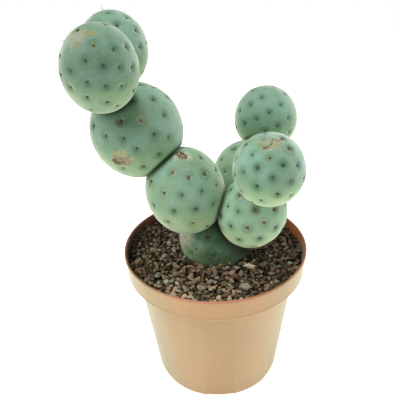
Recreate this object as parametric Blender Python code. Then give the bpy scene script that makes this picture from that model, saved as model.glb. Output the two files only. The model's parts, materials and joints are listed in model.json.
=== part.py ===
"""A potted tephrocactus: nine ball-shaped stem segments on one root, in a plastic nursery pot of grit.

Metres, +Z up. The origin is the middle of the pot's underside, and the plant is seen from -Y.
"""

import math
import random
from collections import namedtuple

import bmesh
import bpy
from mathutils import Matrix, Vector, geometry

MM = 0.001

# Pot: a 10.5 cm nursery pot, turned from one profile
RIM_RADIUS = 52.5 * MM
POT_HEIGHT = 85.0 * MM
COLLAR_HEIGHT = 12.8 * MM
COLLAR_FOOT_RADIUS = 51.2 * MM
SHOULDER_RADIUS = 46.4 * MM
BASE_RADIUS = 38.3 * MM
BASE_CORNER = 5.0 * MM
WALL = 1.1 * MM
LIP = 1.3 * MM
BEAD = 0.35 * MM
FLOOR = 2.2 * MM
POT_STEPS = 48

# Underside: channels that let water out from under the pot, each over a drain hole
CHANNELS = 6
CHANNEL_WIDTH = 15.0 * MM
CHANNEL_DEPTH = 1.1 * MM
CHANNEL_START = 16.0 * MM
DRAIN_RADIUS = 3.8 * MM
DRAIN_CIRCLE = 28.5 * MM
DRAIN_STEPS = 16

# Grit: fills the pot to just under the rim, and its top is a relief of stones
SOIL_LEVEL = 78.6 * MM
FIT_GAP = 0.3 * MM
MOUND = 2.0 * MM
MOUND_REACH = 11.0 * MM
STONE_SPACING = 5.5 * MM
STONE_JITTER = 0.9 * MM
STONE_HEIGHT = (0.9 * MM, 2.1 * MM)
STONE_CORNERS = 5
STONE_SHOULDER = (0.27, 0.33)
SHOULDER_LEVEL = (0.68, 0.9)
STONE_SUNK = 0.3 * MM
EDGE_MARGIN = 2.1 * MM
BOWL_STEPS = 48
BOWL_ROWS = 6
BOWL_CHAMFER = 1.2 * MM
GRIT_SEED = 11

# Roots: a short tap root with side roots, under the lowest segment
TAP_RADIUS = 4.2 * MM
TAP_TIP_RADIUS = 1.2 * MM
TAP_LENGTH = 38.0 * MM
TAP_STEPS = 6
TAP_BEND = 1.2 * MM
TAP_WAVE = 2.2
SIDE_ROOTS = 5
SIDE_ROOT_RADIUS = 1.7 * MM
SIDE_ROOT_TIP_RADIUS = 0.7 * MM
SIDE_ROOT_REACH = 26.0 * MM
SIDE_ROOT_DROP = 17.0 * MM
SIDE_ROOT_FIRST = 5.0 * MM
SIDE_ROOT_STAGGER = 4.0 * MM
SIDE_ROOT_BEND = 0.45
SIDE_ROOT_POINTS = 6
SIDE_ROOT_LENGTHS = (0.85, 1.0)
SIDE_ROOT_SWING = 0.15
ROOT_CORNERS = 8
ROOT_SEED = 3

# Skin of every stem segment: a spiral of areoles, each a nub in a shallow pit
SEAT_GAP = 0.35 * MM
PIT_RADIUS = 2.3 * MM
PIT_DEPTH = 0.55 * MM
NUB_RADIUS = 0.75 * MM
NUB_HEIGHT = 0.5 * MM
NUB_CORNERS = 4
PIT_CORNERS = 5
PLAIN_SPACING = 5.0 * MM
PLAIN_TRIES = 400
GOLDEN_ANGLE = math.pi * (3 - math.sqrt(5))
CROWDING = 1.16
SEAT_RINGS = ((0.5, 6), (1.0, 14), (1.3, 12))
AREOLES_FROM_SEAT = 1.35
SKIN_FROM_SEAT = 1.45

# Spines: short, thin and only round each segment's growing tip
SPINE_ROOT_RADIUS = 0.3 * MM
SPINE_SUNK = 1.2 * MM
SPINE_LENGTH = (3.0 * MM, 6.0 * MM)
SPINE_CLEARANCE = 1.5 * MM
SPINE_LEAN = 0.55
SPINE_UPWARD = 0.4
SPINE_TESTED_AT = (0.35, 0.7, 1.0)
SPINE_SEED = 5

# Stem segments. Azimuth and elevation, in degrees, say in which direction from its parent's middle a
# segment sits. Girth and half_length are its radii across and along the way that it grows, in
# millimetres, and it leans from upright by lean degrees towards lean_azimuth. Seat is how deep it and
# its parent press into each other, in millimetres. Areoles is the number on its whole ball, and
# pressed_on names the neighbours that flatten it.
Segment = namedtuple(
    "Segment",
    "name parent azimuth elevation girth half_length lean_azimuth lean seat areoles spines pressed_on",
)
BASE, LEFT_1, LEFT_2 = "base_segment", "left_first_segment", "left_second_segment"
FRONT_1, BACK_1 = "front_first_segment", "back_first_segment"
SEGMENTS = [
    Segment(BASE, None, 0, 0, 22.2, 23.3, 0, 0, 0, 48, 0, ()),
    Segment(LEFT_1, BASE, -137.5, 60, 20.5, 24.4, -134, 15, 2.2, 56, 3, (BASE, FRONT_1)),
    Segment(LEFT_2, LEFT_1, 158.5, 51.5, 23.2, 24.2, 149.5, 34, 7.2, 64, 7, (LEFT_1,)),
    Segment("left_front_tip", LEFT_2, -120, 58.5, 17.4, 21.5, -79.5, 32.5, 2.2, 60, 9, (LEFT_2,)),
    Segment("left_back_tip", LEFT_2, 119.5, 60.5, 17.5, 19.4, 100.5, 24.5, 2.2, 60, 9, (LEFT_2,)),
    Segment(FRONT_1, BASE, -50.5, 45.5, 17.8, 19.7, -6.5, 27.5, 2.2, 56, 3, (BASE,)),
    Segment("front_tip", FRONT_1, -69, 63, 16.9, 18, -94, 23.5, 2.2, 54, 8, (FRONT_1,)),
    Segment(BACK_1, BASE, 52.5, 40, 20, 21.1, 51.5, 50, 2.2, 54, 4, (BASE,)),
    Segment("back_tip", BACK_1, 61, 41, 19.4, 20.2, 71, 48, 2.2, 54, 8, (BACK_1,)),
]
BY_NAME = {segment.name: segment for segment in SEGMENTS}
BASE_MIDDLE = Vector((1.5, 3.0, 87.5)) * MM


def clear_scene():
    for obj in list(bpy.data.objects):
        bpy.data.objects.remove(obj, do_unlink=True)


def make_material(name, colour, roughness):
    material = bpy.data.materials.new(name)
    material.use_nodes = True
    shader = material.node_tree.nodes["Principled BSDF"]
    shader.inputs["Base Color"].default_value = (*colour, 1)
    shader.inputs["Roughness"].default_value = roughness
    shader.inputs["Metallic"].default_value = 0
    return material


def finish_object(name, bm, material, smooth_angle=None):
    """Links the bmesh as one named object with its faces pointing out."""
    bmesh.ops.recalc_face_normals(bm, faces=bm.faces)
    mesh = bpy.data.meshes.new(name)
    bm.to_mesh(mesh)
    bm.free()
    mesh.materials.append(material)
    if smooth_angle is not None:
        mesh.shade_smooth()
        mesh.set_sharp_from_angle(angle=math.radians(smooth_angle))
    obj = bpy.data.objects.new(name, mesh)
    bpy.context.scene.collection.objects.link(obj)
    return obj


def mark_helper(obj):
    """A cutter is in the scene, but isn't part of the object."""
    obj.hide_render = True
    obj.display_type = "WIRE"
    return obj


def spin_profile(bm, profile, steps):
    """Turns a list of (radius, height) once round the Z axis."""
    start = [bm.verts.new((radius, 0, height)) for radius, height in profile]
    edges = [bm.edges.new(pair) for pair in zip(start, start[1:])]
    bmesh.ops.spin(
        bm, geom=start + edges, cent=(0, 0, 0), axis=(0, 0, 1), angle=2 * math.pi, steps=steps,
        use_merge=True,
    )
    bmesh.ops.remove_doubles(bm, verts=bm.verts, dist=1e-6)


def cut_away(obj, cutter):
    modifier = obj.modifiers.new("Cut " + cutter.name, "BOOLEAN")
    modifier.operation = "DIFFERENCE"
    modifier.object = cutter


def join_repeats(obj, repeats):
    """Fuses a list of objects into obj by one Boolean union, and removes them."""
    collection = bpy.data.collections.new("Repeats of " + obj.name)
    bpy.context.scene.collection.children.link(collection)
    for repeat in repeats:
        bpy.context.scene.collection.objects.unlink(repeat)
        collection.objects.link(repeat)
    modifier = obj.modifiers.new("Join repeats", "BOOLEAN")
    modifier.operation = "UNION"
    modifier.operand_type = "COLLECTION"
    modifier.collection = collection
    graph = bpy.context.evaluated_depsgraph_get()
    joined = bpy.data.meshes.new_from_object(obj.evaluated_get(graph))
    obj.modifiers.clear()
    obj.data = joined
    for repeat in repeats:
        bpy.data.objects.remove(repeat, do_unlink=True)
    bpy.data.collections.remove(collection)


# Pot


def outer_profile():
    """The pot's outside, from the middle of its underside up to the lip."""
    shoulder = POT_HEIGHT - COLLAR_HEIGHT
    return [
        (0, 0),
        (BASE_RADIUS - 1.8 * MM, 0),
        (BASE_RADIUS - 0.6 * MM, 0.9 * MM),
        (BASE_RADIUS, BASE_CORNER),
        (SHOULDER_RADIUS, shoulder - 0.9 * MM),
        (SHOULDER_RADIUS + 0.5 * MM, shoulder),
        (COLLAR_FOOT_RADIUS - 0.3 * MM, shoulder),
        (COLLAR_FOOT_RADIUS + BEAD, shoulder + 0.6 * MM),
        (COLLAR_FOOT_RADIUS + 0.1 * MM, shoulder + 1.4 * MM),
        (RIM_RADIUS, POT_HEIGHT - 0.8 * MM),
        (RIM_RADIUS - 0.6 * MM, POT_HEIGHT),
        (RIM_RADIUS - LIP + 0.5 * MM, POT_HEIGHT),
    ]


def inner_profile():
    """The pot's inside, from the lip down to the middle of its floor."""
    shoulder = POT_HEIGHT - COLLAR_HEIGHT
    return [
        (RIM_RADIUS - LIP - 0.2 * MM, POT_HEIGHT - 0.9 * MM),
        (COLLAR_FOOT_RADIUS - WALL, shoulder + WALL),
        (SHOULDER_RADIUS - WALL + 0.4 * MM, shoulder + 0.3 * MM),
        (SHOULDER_RADIUS - WALL, shoulder - 1.0 * MM),
        (BASE_RADIUS - WALL - 0.2 * MM, FLOOR + 1.5 * MM),
        (BASE_RADIUS - WALL - 1.6 * MM, FLOOR),
        (0, FLOOR),
    ]


def channel_turns():
    """One turn round Z for each channel, the first to the front."""
    return [Matrix.Rotation(2 * math.pi * turn / CHANNELS - math.pi / 2, 4, "Z") for turn in range(CHANNELS)]


def make_channel_cutter():
    bm = bmesh.new()
    length = BASE_RADIUS + 5 * MM - CHANNEL_START
    box = Matrix.Translation((CHANNEL_START + length / 2, 0, 0))
    box = box @ Matrix.Diagonal((length, CHANNEL_WIDTH, 2 * CHANNEL_DEPTH, 1))
    for turn in channel_turns():
        bmesh.ops.create_cube(bm, size=1, matrix=turn @ box)
    return mark_helper(finish_object("channel_cutter", bm, None))


def make_drain_cutter():
    bm = bmesh.new()
    for turn in channel_turns():
        bmesh.ops.create_cone(
            bm, cap_ends=True, segments=DRAIN_STEPS, radius1=DRAIN_RADIUS, radius2=DRAIN_RADIUS,
            depth=2 * FLOOR, matrix=turn @ Matrix.Translation((DRAIN_CIRCLE, 0, FLOOR / 2)),
        )
    return mark_helper(finish_object("drain_cutter", bm, None))


def build_pot(material):
    bm = bmesh.new()
    spin_profile(bm, outer_profile() + inner_profile(), POT_STEPS)
    pot = finish_object("pot", bm, material, smooth_angle=35)
    cut_away(pot, make_channel_cutter())
    cut_away(pot, make_drain_cutter())


# Roots


def root_top():
    """Height of the lowest segment's underside."""
    return BASE_MIDDLE.z - BY_NAME[BASE].half_length * MM


def side_root_route(turn, rng):
    """The points of one side root, out from the tap root and down."""
    angle = 2 * math.pi * (turn + rng.uniform(-SIDE_ROOT_SWING, SIDE_ROOT_SWING)) / SIDE_ROOTS
    start = root_top() - SIDE_ROOT_FIRST - SIDE_ROOT_STAGGER * (turn % 3)
    length = SIDE_ROOT_REACH * rng.uniform(*SIDE_ROOT_LENGTHS)
    points = []
    for step in range(SIDE_ROOT_POINTS):
        share = step / (SIDE_ROOT_POINTS - 1)
        bend = angle + SIDE_ROOT_BEND * share * (-1) ** turn
        out = length * share
        height = start - SIDE_ROOT_DROP * share**1.6
        points.append(
            Vector((BASE_MIDDLE.x + out * math.cos(bend), BASE_MIDDLE.y + out * math.sin(bend), height))
        )
    return points


def make_tube(name, points, radius, tip_radius, extra, material):
    """A tapering tube through the points, fatter all over by extra."""
    curve = bpy.data.curves.new(name, "CURVE")
    curve.dimensions = "3D"
    curve.bevel_depth = radius + extra
    curve.bevel_resolution = ROOT_CORNERS // 4 - 1
    curve.use_fill_caps = True
    spline = curve.splines.new("POLY")
    spline.points.add(len(points) - 1)
    for index, point in enumerate(points):
        share = index / (len(points) - 1)
        spline.points[index].co = (*point, 1)
        spline.points[index].radius = (radius + (tip_radius - radius) * share + extra) / (radius + extra)
    guide = bpy.data.objects.new(name, curve)
    bpy.context.scene.collection.objects.link(guide)
    graph = bpy.context.evaluated_depsgraph_get()
    bm = bmesh.new()
    bm.from_mesh(bpy.data.meshes.new_from_object(guide.evaluated_get(graph)))
    bpy.data.objects.remove(guide, do_unlink=True)
    bmesh.ops.remove_doubles(bm, verts=bm.verts, dist=1e-6)
    return finish_object(name, bm, material, smooth_angle=50)


def make_roots(name, material, extra, rise):
    """The tap root and its side roots as one body. A hole for it is fatter by extra and rises higher."""
    rng = random.Random(ROOT_SEED)
    top = root_top() - FIT_GAP
    tap_points = [Vector((BASE_MIDDLE.x, BASE_MIDDLE.y, top + rise))]
    for step in range(1, TAP_STEPS + 1):
        share = step / TAP_STEPS
        bend = TAP_BEND * math.sin(TAP_WAVE * share)
        height = top - (TAP_LENGTH + extra) * share
        tap_points.append(Vector((BASE_MIDDLE.x + bend, BASE_MIDDLE.y, height)))
    tap = make_tube(name, tap_points, TAP_RADIUS, TAP_TIP_RADIUS, extra, material)
    sides = []
    for turn in range(SIDE_ROOTS):
        points = side_root_route(turn, rng)
        points[-1] += (points[-1] - points[-2]).normalized() * extra
        side_name = f"{name}_side_{turn}"
        sides.append(make_tube(side_name, points, SIDE_ROOT_RADIUS, SIDE_ROOT_TIP_RADIUS, extra, material))
    join_repeats(tap, sides)
    return tap


# Grit


def bowl_profile():
    """The hollow that the lowest segment sits in, from its mouth to its lowest point."""
    girth = BY_NAME[BASE].girth * MM + SEAT_GAP
    half_length = BY_NAME[BASE].half_length * MM + SEAT_GAP
    top = math.asin((BASE_MIDDLE.z - SOIL_LEVEL + BOWL_CHAMFER) / half_length)
    profile = [(girth * math.cos(top) + BOWL_CHAMFER, SOIL_LEVEL)]
    for row in range(BOWL_ROWS):
        angle = top + (math.pi / 2 - top) * row / BOWL_ROWS
        profile.append((girth * math.cos(angle), BASE_MIDDLE.z - half_length * math.sin(angle)))
    profile.append((0, BASE_MIDDLE.z - half_length))
    return profile


def is_on_top(point, outer, inner, margin):
    """True where a point is at least margin from the pot's wall and from the bowl."""
    return point.length < outer - margin and (point - BASE_MIDDLE.xy).length > inner + margin


def stone_middles(rng, outer, inner):
    """Middles of the stones: a hexagonal grid, shaken."""
    row_height = STONE_SPACING * math.sqrt(3) / 2
    rows = int(outer / row_height) + 1
    middles = []
    for row in range(-rows, rows + 1):
        for column in range(-rows, rows + 1):
            x = (column + 0.5 * (row % 2)) * STONE_SPACING + rng.uniform(-1, 1) * STONE_JITTER
            y = row * row_height + rng.uniform(-1, 1) * STONE_JITTER
            if is_on_top(Vector((x, y)), outer, inner, EDGE_MARGIN):
                middles.append(Vector((x, y)))
    return middles


def ground_at(point, inner):
    """Level of the grit between its stones: a low mound round the lowest segment."""
    away = (point - BASE_MIDDLE.xy).length - inner
    return SOIL_LEVEL + MOUND * min(max(1 - away / MOUND_REACH, 0), 1)


def stone_points(rng, outer, inner):
    """Each stone's top and shoulder, and the low points between the stones."""
    middles = stone_middles(rng, outer, inner)
    points = []
    for middle in middles:
        height = rng.uniform(*STONE_HEIGHT)
        turn = rng.uniform(0, math.pi)
        ground = ground_at(middle, inner)
        points.append(middle.to_3d() + Vector((0, 0, ground + height)))
        for corner in range(STONE_CORNERS):
            angle = turn + 2 * math.pi * corner / STONE_CORNERS
            reach = STONE_SPACING * rng.uniform(*STONE_SHOULDER)
            level = ground + height * rng.uniform(*SHOULDER_LEVEL)
            points.append(
                Vector((middle.x + reach * math.cos(angle), middle.y + reach * math.sin(angle), level))
            )
    faces = geometry.delaunay_2d_cdt(middles, [], [], 0, 1e-7)[2]
    for face in faces:
        low = sum((middles[index] for index in face), Vector((0, 0))) / 3
        if is_on_top(low, outer, inner, EDGE_MARGIN / 2):
            points.append(low.to_3d() + Vector((0, 0, ground_at(low, inner) - rng.uniform(0, STONE_SUNK))))
    return points


def ring_of(bm, radius, middle):
    """The vertices at soil level on one turned ring, in order round it."""
    found = []
    for vert in bm.verts:
        out = vert.co.xy - middle
        if abs(vert.co.z - SOIL_LEVEL) < 1e-6 and abs(out.length - radius) < 1e-6:
            found.append((math.atan2(out.y, out.x), vert))
    return [vert for _, vert in sorted(found, key=lambda pair: pair[0])]


def loop_edges(first, count):
    return [(first + index, first + (index + 1) % count) for index in range(count)]


def build_grit(material, root_hole):
    """The grit that fills the pot: turned sides, a turned bowl, and a relief of stones between them."""
    bm = bmesh.new()
    sides = [(radius - FIT_GAP, max(height, FLOOR + FIT_GAP)) for radius, height in inner_profile()[1:]]
    sides[-1] = (0, FLOOR + FIT_GAP)
    outer = sides[0][0]
    bowl = bowl_profile()
    inner = bowl[0][0]
    spin_profile(bm, bowl, BOWL_STEPS)
    bmesh.ops.translate(bm, verts=bm.verts, vec=(BASE_MIDDLE.x, BASE_MIDDLE.y, 0))
    spin_profile(bm, [(outer, SOIL_LEVEL)] + sides, POT_STEPS)
    outer_ring = ring_of(bm, outer, Vector((0, 0)))
    inner_ring = ring_of(bm, inner, BASE_MIDDLE.xy)
    relief = [bm.verts.new(point) for point in stone_points(random.Random(GRIT_SEED), outer, inner)]
    verts = outer_ring + inner_ring + relief
    edges = loop_edges(0, len(outer_ring)) + loop_edges(len(outer_ring), len(inner_ring))
    flat = [vert.co.xy for vert in verts]
    faces = geometry.delaunay_2d_cdt(flat, edges, [], 0, 1e-8)[2]
    inside_bowl = inner * math.cos(math.pi / BOWL_STEPS)
    for face in faces:
        middle = sum((flat[index] for index in face), Vector((0, 0))) / 3
        if (middle - BASE_MIDDLE.xy).length > inside_bowl:
            bm.faces.new([verts[index] for index in face])
    cut_away(finish_object("grit", bm, material), root_hole)


# Stem segments


def direction_of(azimuth, elevation):
    """A direction from its angles in degrees: azimuth from +X round to +Y, elevation up from level."""
    turn, rise = math.radians(azimuth), math.radians(elevation)
    return Vector((math.cos(rise) * math.cos(turn), math.cos(rise) * math.sin(turn), math.sin(rise)))


def growth_of(segment):
    return direction_of(segment.lean_azimuth, 90 - segment.lean)


def basis_of(segment):
    """Columns are the segment's own X and Y and the way that it grows."""
    growth = growth_of(segment)
    side = Vector((0, 0, 1)).cross(growth) if segment.lean else Vector((1, 0, 0))
    side.normalize()
    return Matrix((side, growth.cross(side), growth)).transposed()


def reach_along(segment, direction, extra=0.0):
    """From the segment's middle to its smooth surface, grown by extra, along a world direction."""
    along = growth_of(segment).dot(direction)
    girth, half_length = segment.girth * MM + extra, segment.half_length * MM + extra
    return 1 / math.sqrt((1 - along**2) / girth**2 + along**2 / half_length**2)


def middle_of(segment):
    """A segment's middle: as far from its parent's as the two reach, less what they press together."""
    if segment.parent is None:
        return BASE_MIDDLE
    parent = BY_NAME[segment.parent]
    way = direction_of(segment.azimuth, segment.elevation)
    distance = reach_along(parent, way) + reach_along(segment, -way) - segment.seat * MM
    return middle_of(parent) + way * distance


def distance_to(start, direction, segment, extra):
    """From start along direction to the segment's surface grown by extra, or infinity if it misses."""
    turn = basis_of(segment).transposed()
    girth, half_length = segment.girth * MM + extra, segment.half_length * MM + extra
    shrink = Matrix.Diagonal((1 / girth, 1 / girth, 1 / half_length)) @ turn
    origin = shrink @ (start - middle_of(segment))
    ray = shrink @ direction
    a, b, c = ray.length_squared, 2 * origin.dot(ray), origin.length_squared - 1
    below = b * b - 4 * a * c
    if below < 0 or b > 0:
        return math.inf
    return (-b - math.sqrt(below)) / (2 * a)


def spiral(count, crowding=1.0):
    """Directions on a golden-angle spiral from +Z to -Z, closer together round +Z if crowding is over 1."""
    directions = []
    for index in range(count):
        height = 1 - 2 * ((index + 0.5) / count) ** crowding
        out = math.sqrt(1 - height * height)
        angle = index * GOLDEN_ANGLE
        directions.append(Vector((out * math.cos(angle), out * math.sin(angle), height)))
    return directions


def ring_round(direction, radius, corners, turn):
    """Directions on a small circle round one direction, radius in radians."""
    side = direction.orthogonal().normalized()
    other = direction.cross(side)
    ring = []
    for corner in range(corners):
        angle = turn + 2 * math.pi * corner / corners
        outward = side * math.cos(angle) + other * math.sin(angle)
        ring.append(direction * math.cos(radius) + outward * math.sin(radius))
    return ring


def seats_of(segment):
    """(direction, angular radius, is pressed in) of each place where the segment meets a neighbour."""
    turn = basis_of(segment).transposed()
    seats = []
    for other in SEGMENTS:
        if other.name not in segment.pressed_on and segment.name not in other.pressed_on:
            continue
        between = middle_of(other) - middle_of(segment)
        towards = between.normalized()
        reach = reach_along(segment, towards)
        bite = reach + reach_along(other, -towards) - between.length + SEAT_GAP
        seats.append((turn @ towards, math.sqrt(bite / reach), other.name in segment.pressed_on))
    return seats


def is_buried(segment, direction):
    height = (middle_of(segment) + basis_of(segment) @ direction * segment.girth * MM).z
    return segment.parent is None and height < SOIL_LEVEL + 2 * MM


def sort_areoles(segment):
    """The spiral's directions in two lists: areoles open to the air, and plain skin by a seat or buried."""
    seats = seats_of(segment)
    margin = PIT_RADIUS / (segment.girth * MM)
    areoles, plain = [], []
    for direction in spiral(segment.areoles, CROWDING):
        if any(way.angle(direction) < AREOLES_FROM_SEAT * radius + margin for way, radius, _ in seats):
            if all(way.angle(direction) > SKIN_FROM_SEAT * radius for way, radius, _ in seats):
                plain.append(direction)
        elif is_buried(segment, direction):
            plain.append(direction)
        else:
            areoles.append(direction)
    return areoles, plain


def segment_points(segment):
    """(direction, height above the smooth surface) of every vertex, in the segment's own axes."""
    reach = segment.girth * MM
    points = []
    for direction, radius, pressed_in in seats_of(segment):
        if pressed_in:
            points.append((direction, 0))
            for share, corners in SEAT_RINGS:
                points += [(ring, 0) for ring in ring_round(direction, share * radius, corners, share)]
    areoles, plain = sort_areoles(segment)
    for index, direction in enumerate(areoles):
        nub = ring_round(direction, NUB_RADIUS / reach, NUB_CORNERS, index)
        pit = ring_round(direction, PIT_RADIUS / reach, PIT_CORNERS, 0.3 * index)
        points.append((direction, NUB_HEIGHT - PIT_DEPTH))
        points += [(ring, -PIT_DEPTH) for ring in nub]
        points += [(ring, 0) for ring in pit]
    points += [(direction, 0) for direction in plain]
    nearest = math.cos(PLAIN_SPACING / reach)
    for direction in spiral(PLAIN_TRIES):
        if all(direction.dot(other) < nearest for other, _ in points):
            points.append((direction, 0))
    return points


def is_clear(point, segment):
    away = point - middle_of(segment)
    return away.length > reach_along(segment, away.normalized()) + SPINE_CLEARANCE


def spine_places(segment, rng):
    """(root, direction, length) of each spine, round the tip and clear of every other segment."""
    turn = basis_of(segment)
    growth = growth_of(segment)
    others = [other for other in SEGMENTS if other.name != segment.name]
    places = []
    for direction in sort_areoles(segment)[0]:
        if len(places) == segment.spines:
            break
        outward = turn @ direction
        sideways = Vector((rng.uniform(-1, 1), rng.uniform(-1, 1), rng.uniform(-1, 1)))
        way = (outward + SPINE_LEAN * (SPINE_UPWARD * growth + sideways)).normalized()
        length = rng.uniform(*SPINE_LENGTH)
        root = middle_of(segment) + outward * (reach_along(segment, outward) - PIT_DEPTH)
        reached = [root + way * length * share for share in SPINE_TESTED_AT]
        if way.dot(outward) > 0.5 and all(is_clear(point, other) for point in reached for other in others):
            places.append((root, way, length))
    return places


def make_spine(name, root, way, length, material):
    """One three-sided needle, its root sunk into the flesh."""
    bm = bmesh.new()
    lie = way.to_track_quat("Z", "Y").to_matrix().to_4x4()
    place = Matrix.Translation(root + way * (length - SPINE_SUNK) / 2) @ lie
    bmesh.ops.create_cone(
        bm, cap_ends=True, cap_tris=True, segments=3, radius1=SPINE_ROOT_RADIUS, radius2=0,
        depth=length + SPINE_SUNK, matrix=place,
    )
    bmesh.ops.remove_doubles(bm, verts=bm.verts, dist=1e-6)
    return finish_object(name, bm, material)


def build_segment(segment, material, rng):
    """One stem segment: a triangulated ball with areole relief and pressed-in seats, and its spines."""
    turn = basis_of(segment)
    middle = middle_of(segment)
    bm = bmesh.new()
    height = bm.verts.layers.float.new("height")
    for direction, rise in segment_points(segment):
        bm.verts.new(direction.normalized())[height] = rise
    bmesh.ops.convex_hull(bm, input=bm.verts)
    bmesh.ops.triangulate(bm, faces=bm.faces)
    for vert in bm.verts:
        outward = (turn @ vert.co).normalized()
        distance = reach_along(segment, outward) + vert[height]
        for name in segment.pressed_on:
            distance = min(distance, distance_to(middle, outward, BY_NAME[name], SEAT_GAP))
        vert.co = middle + outward * distance
    body = finish_object(segment.name, bm, material, smooth_angle=40)
    spines = [
        make_spine(f"{segment.name}_spine_{index}", *place, material)
        for index, place in enumerate(spine_places(segment, rng))
    ]
    if spines:
        join_repeats(body, spines)


def main():
    clear_scene()
    plastic = make_material("terracotta plastic", (0.60, 0.35, 0.21), 0.45)
    stone = make_material("lava and pumice grit", (0.10, 0.08, 0.055), 0.95)
    bark = make_material("root bark", (0.30, 0.20, 0.11), 0.9)
    skin = make_material("glaucous green skin", (0.20, 0.36, 0.24), 0.6)
    build_pot(plastic)
    make_roots("roots", bark, extra=0, rise=0)
    root_hole = mark_helper(make_roots("root_hole", bark, extra=FIT_GAP, rise=2 * MM))
    build_grit(stone, root_hole)
    rng = random.Random(SPINE_SEED)
    for segment in SEGMENTS:
        build_segment(segment, skin, rng)


main()
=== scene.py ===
"""Looks of a potted tephrocactus: plastic pot, grit, waxy stem segments, woolly areoles and spines."""

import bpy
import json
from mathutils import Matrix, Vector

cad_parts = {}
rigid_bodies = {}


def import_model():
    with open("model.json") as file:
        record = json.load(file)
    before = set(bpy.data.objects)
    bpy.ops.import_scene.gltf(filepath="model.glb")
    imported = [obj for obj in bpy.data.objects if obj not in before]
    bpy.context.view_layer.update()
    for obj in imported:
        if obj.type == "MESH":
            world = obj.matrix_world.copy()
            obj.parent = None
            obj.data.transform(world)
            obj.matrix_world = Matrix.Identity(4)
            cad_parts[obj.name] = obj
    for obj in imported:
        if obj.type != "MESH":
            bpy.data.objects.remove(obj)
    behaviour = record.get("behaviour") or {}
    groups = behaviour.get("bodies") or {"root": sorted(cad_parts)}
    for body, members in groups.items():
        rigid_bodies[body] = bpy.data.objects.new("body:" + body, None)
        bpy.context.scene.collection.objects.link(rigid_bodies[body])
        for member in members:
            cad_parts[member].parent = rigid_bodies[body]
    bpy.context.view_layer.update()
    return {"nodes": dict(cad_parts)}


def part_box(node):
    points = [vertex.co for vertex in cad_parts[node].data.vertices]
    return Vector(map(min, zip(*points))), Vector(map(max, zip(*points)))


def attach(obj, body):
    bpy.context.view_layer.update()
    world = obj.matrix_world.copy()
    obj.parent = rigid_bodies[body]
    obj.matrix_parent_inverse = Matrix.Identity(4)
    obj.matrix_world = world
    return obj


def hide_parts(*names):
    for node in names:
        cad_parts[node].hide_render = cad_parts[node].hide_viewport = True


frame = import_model()

import json
import math
import random
from collections import namedtuple

import bmesh
import bpy
import numpy as np
from bpy.props import FloatProperty, FloatVectorProperty, IntProperty, PointerProperty
from bpy.types import Operator, Panel, PropertyGroup
from mathutils import Matrix, Vector

bl_info = {
    "name": "Potted Tephrocactus",
    "version": (1, 0, 0),
    "blender": (4, 5, 0),
    "location": "3D View > Sidebar > Tephrocactus",
    "description": "Makes the pot, grit, stem segments, areoles and spines of a potted tephrocactus",
    "category": "Add Mesh",
}

MM = 0.001
SAME_PLACE = 1e-6

# Pot, as the frame has it, with rounded corners
POT_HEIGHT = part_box("pot")[1].z
RIM_RADIUS = 52.5 * MM
COLLAR_HEIGHT = 12.8 * MM
COLLAR_FOOT_RADIUS = 51.2 * MM
COLLAR_RADIUS = 51.3 * MM
SHOULDER_RADIUS = 46.4 * MM
SHOULDER_HEIGHT = POT_HEIGHT - COLLAR_HEIGHT
INNER_SHOULDER_HEIGHT = SHOULDER_HEIGHT + 0.3 * MM
BASE_RADIUS = 37.7 * MM
WALL = 1.1 * MM
LIP = 1.3 * MM
BEAD = 0.35 * MM
BEAD_TOP = SHOULDER_HEIGHT + 1.4 * MM
FLOOR = 2.2 * MM
CHANNELS = 6
CHANNEL_WIDTH = 15.0 * MM
CHANNEL_DEPTH = 1.1 * MM
CHANNEL_START = 16.0 * MM
CHANNEL_END = BASE_RADIUS + 5.0 * MM
DRAIN_RADIUS = 3.8 * MM
DRAIN_CIRCLE = 28.5 * MM
DRAIN_STEPS = 32
POT_SHARP_ANGLE = 35

# Where each look of the pot begins and is full: first by height, then by height above the shoulder, then by
# how far the wall faces sideways or to the front, from 0 to 1, and by how far to the left it is
INSIDE_FROM = 0.9 * FLOOR
FOOT_EDGE = (3.3 * MM, 2.7 * MM)
LIP_EDGE = (POT_HEIGHT - 0.5 * MM, POT_HEIGHT - 0.15 * MM)
FRONT_LIP_EDGE = (POT_HEIGHT - 1.5 * MM, POT_HEIGHT - 0.75 * MM)
# The collar is painted lighter, a band at its foot gets a painted highlight, the sides a painted
# reflection, the lip a painted glow and shade, and the inner wall painted shade on its left
COLLAR_EDGE = (-0.5 * MM, 0)
COLLAR_FOOT_BAND = (-0.2 * MM, 0.9 * MM)
SIDE_GLARE_EDGE = (0.5, 1.0)
COLLAR_SIDE_GLARE_EDGE = (0.3, 0.85)
COLLAR_SIDE_GLARE = 1.2
LIP_PAINTED_LIGHT_TO_FRONT = ((0.1, 0.6, 1.0), (1.0, 0.3, 0.2))
FRONT_EDGE = (0.72, 0.97)
# Painted shade darkens the inner wall from right to left across this span
PAINTED_WALL_SHADE_EDGE = (-20 * MM, 25 * MM)
POT_GLOSS = {
    "Metallic": 0.0, "IOR": 1.49, "Coat Weight": 0.15, "Coat Roughness": 0.3,
    "Sheen Weight": 0.45, "Sheen Roughness": 0.3, "Sheen Tint": (0.82, 1.0, 0.72, 1),
}

# Grit: a bed in the pot, painted dark as the shade deep between the stones
SOIL_LEVEL = 78.6 * MM
FIT_GAP = 0.3 * MM
BED_LEVEL = 76.2 * MM
BED_STEPS = 96
BED_ROWS = 24
BED_ROUGHNESS = 0.5 * MM
BOWL_ROWS = 8

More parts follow.
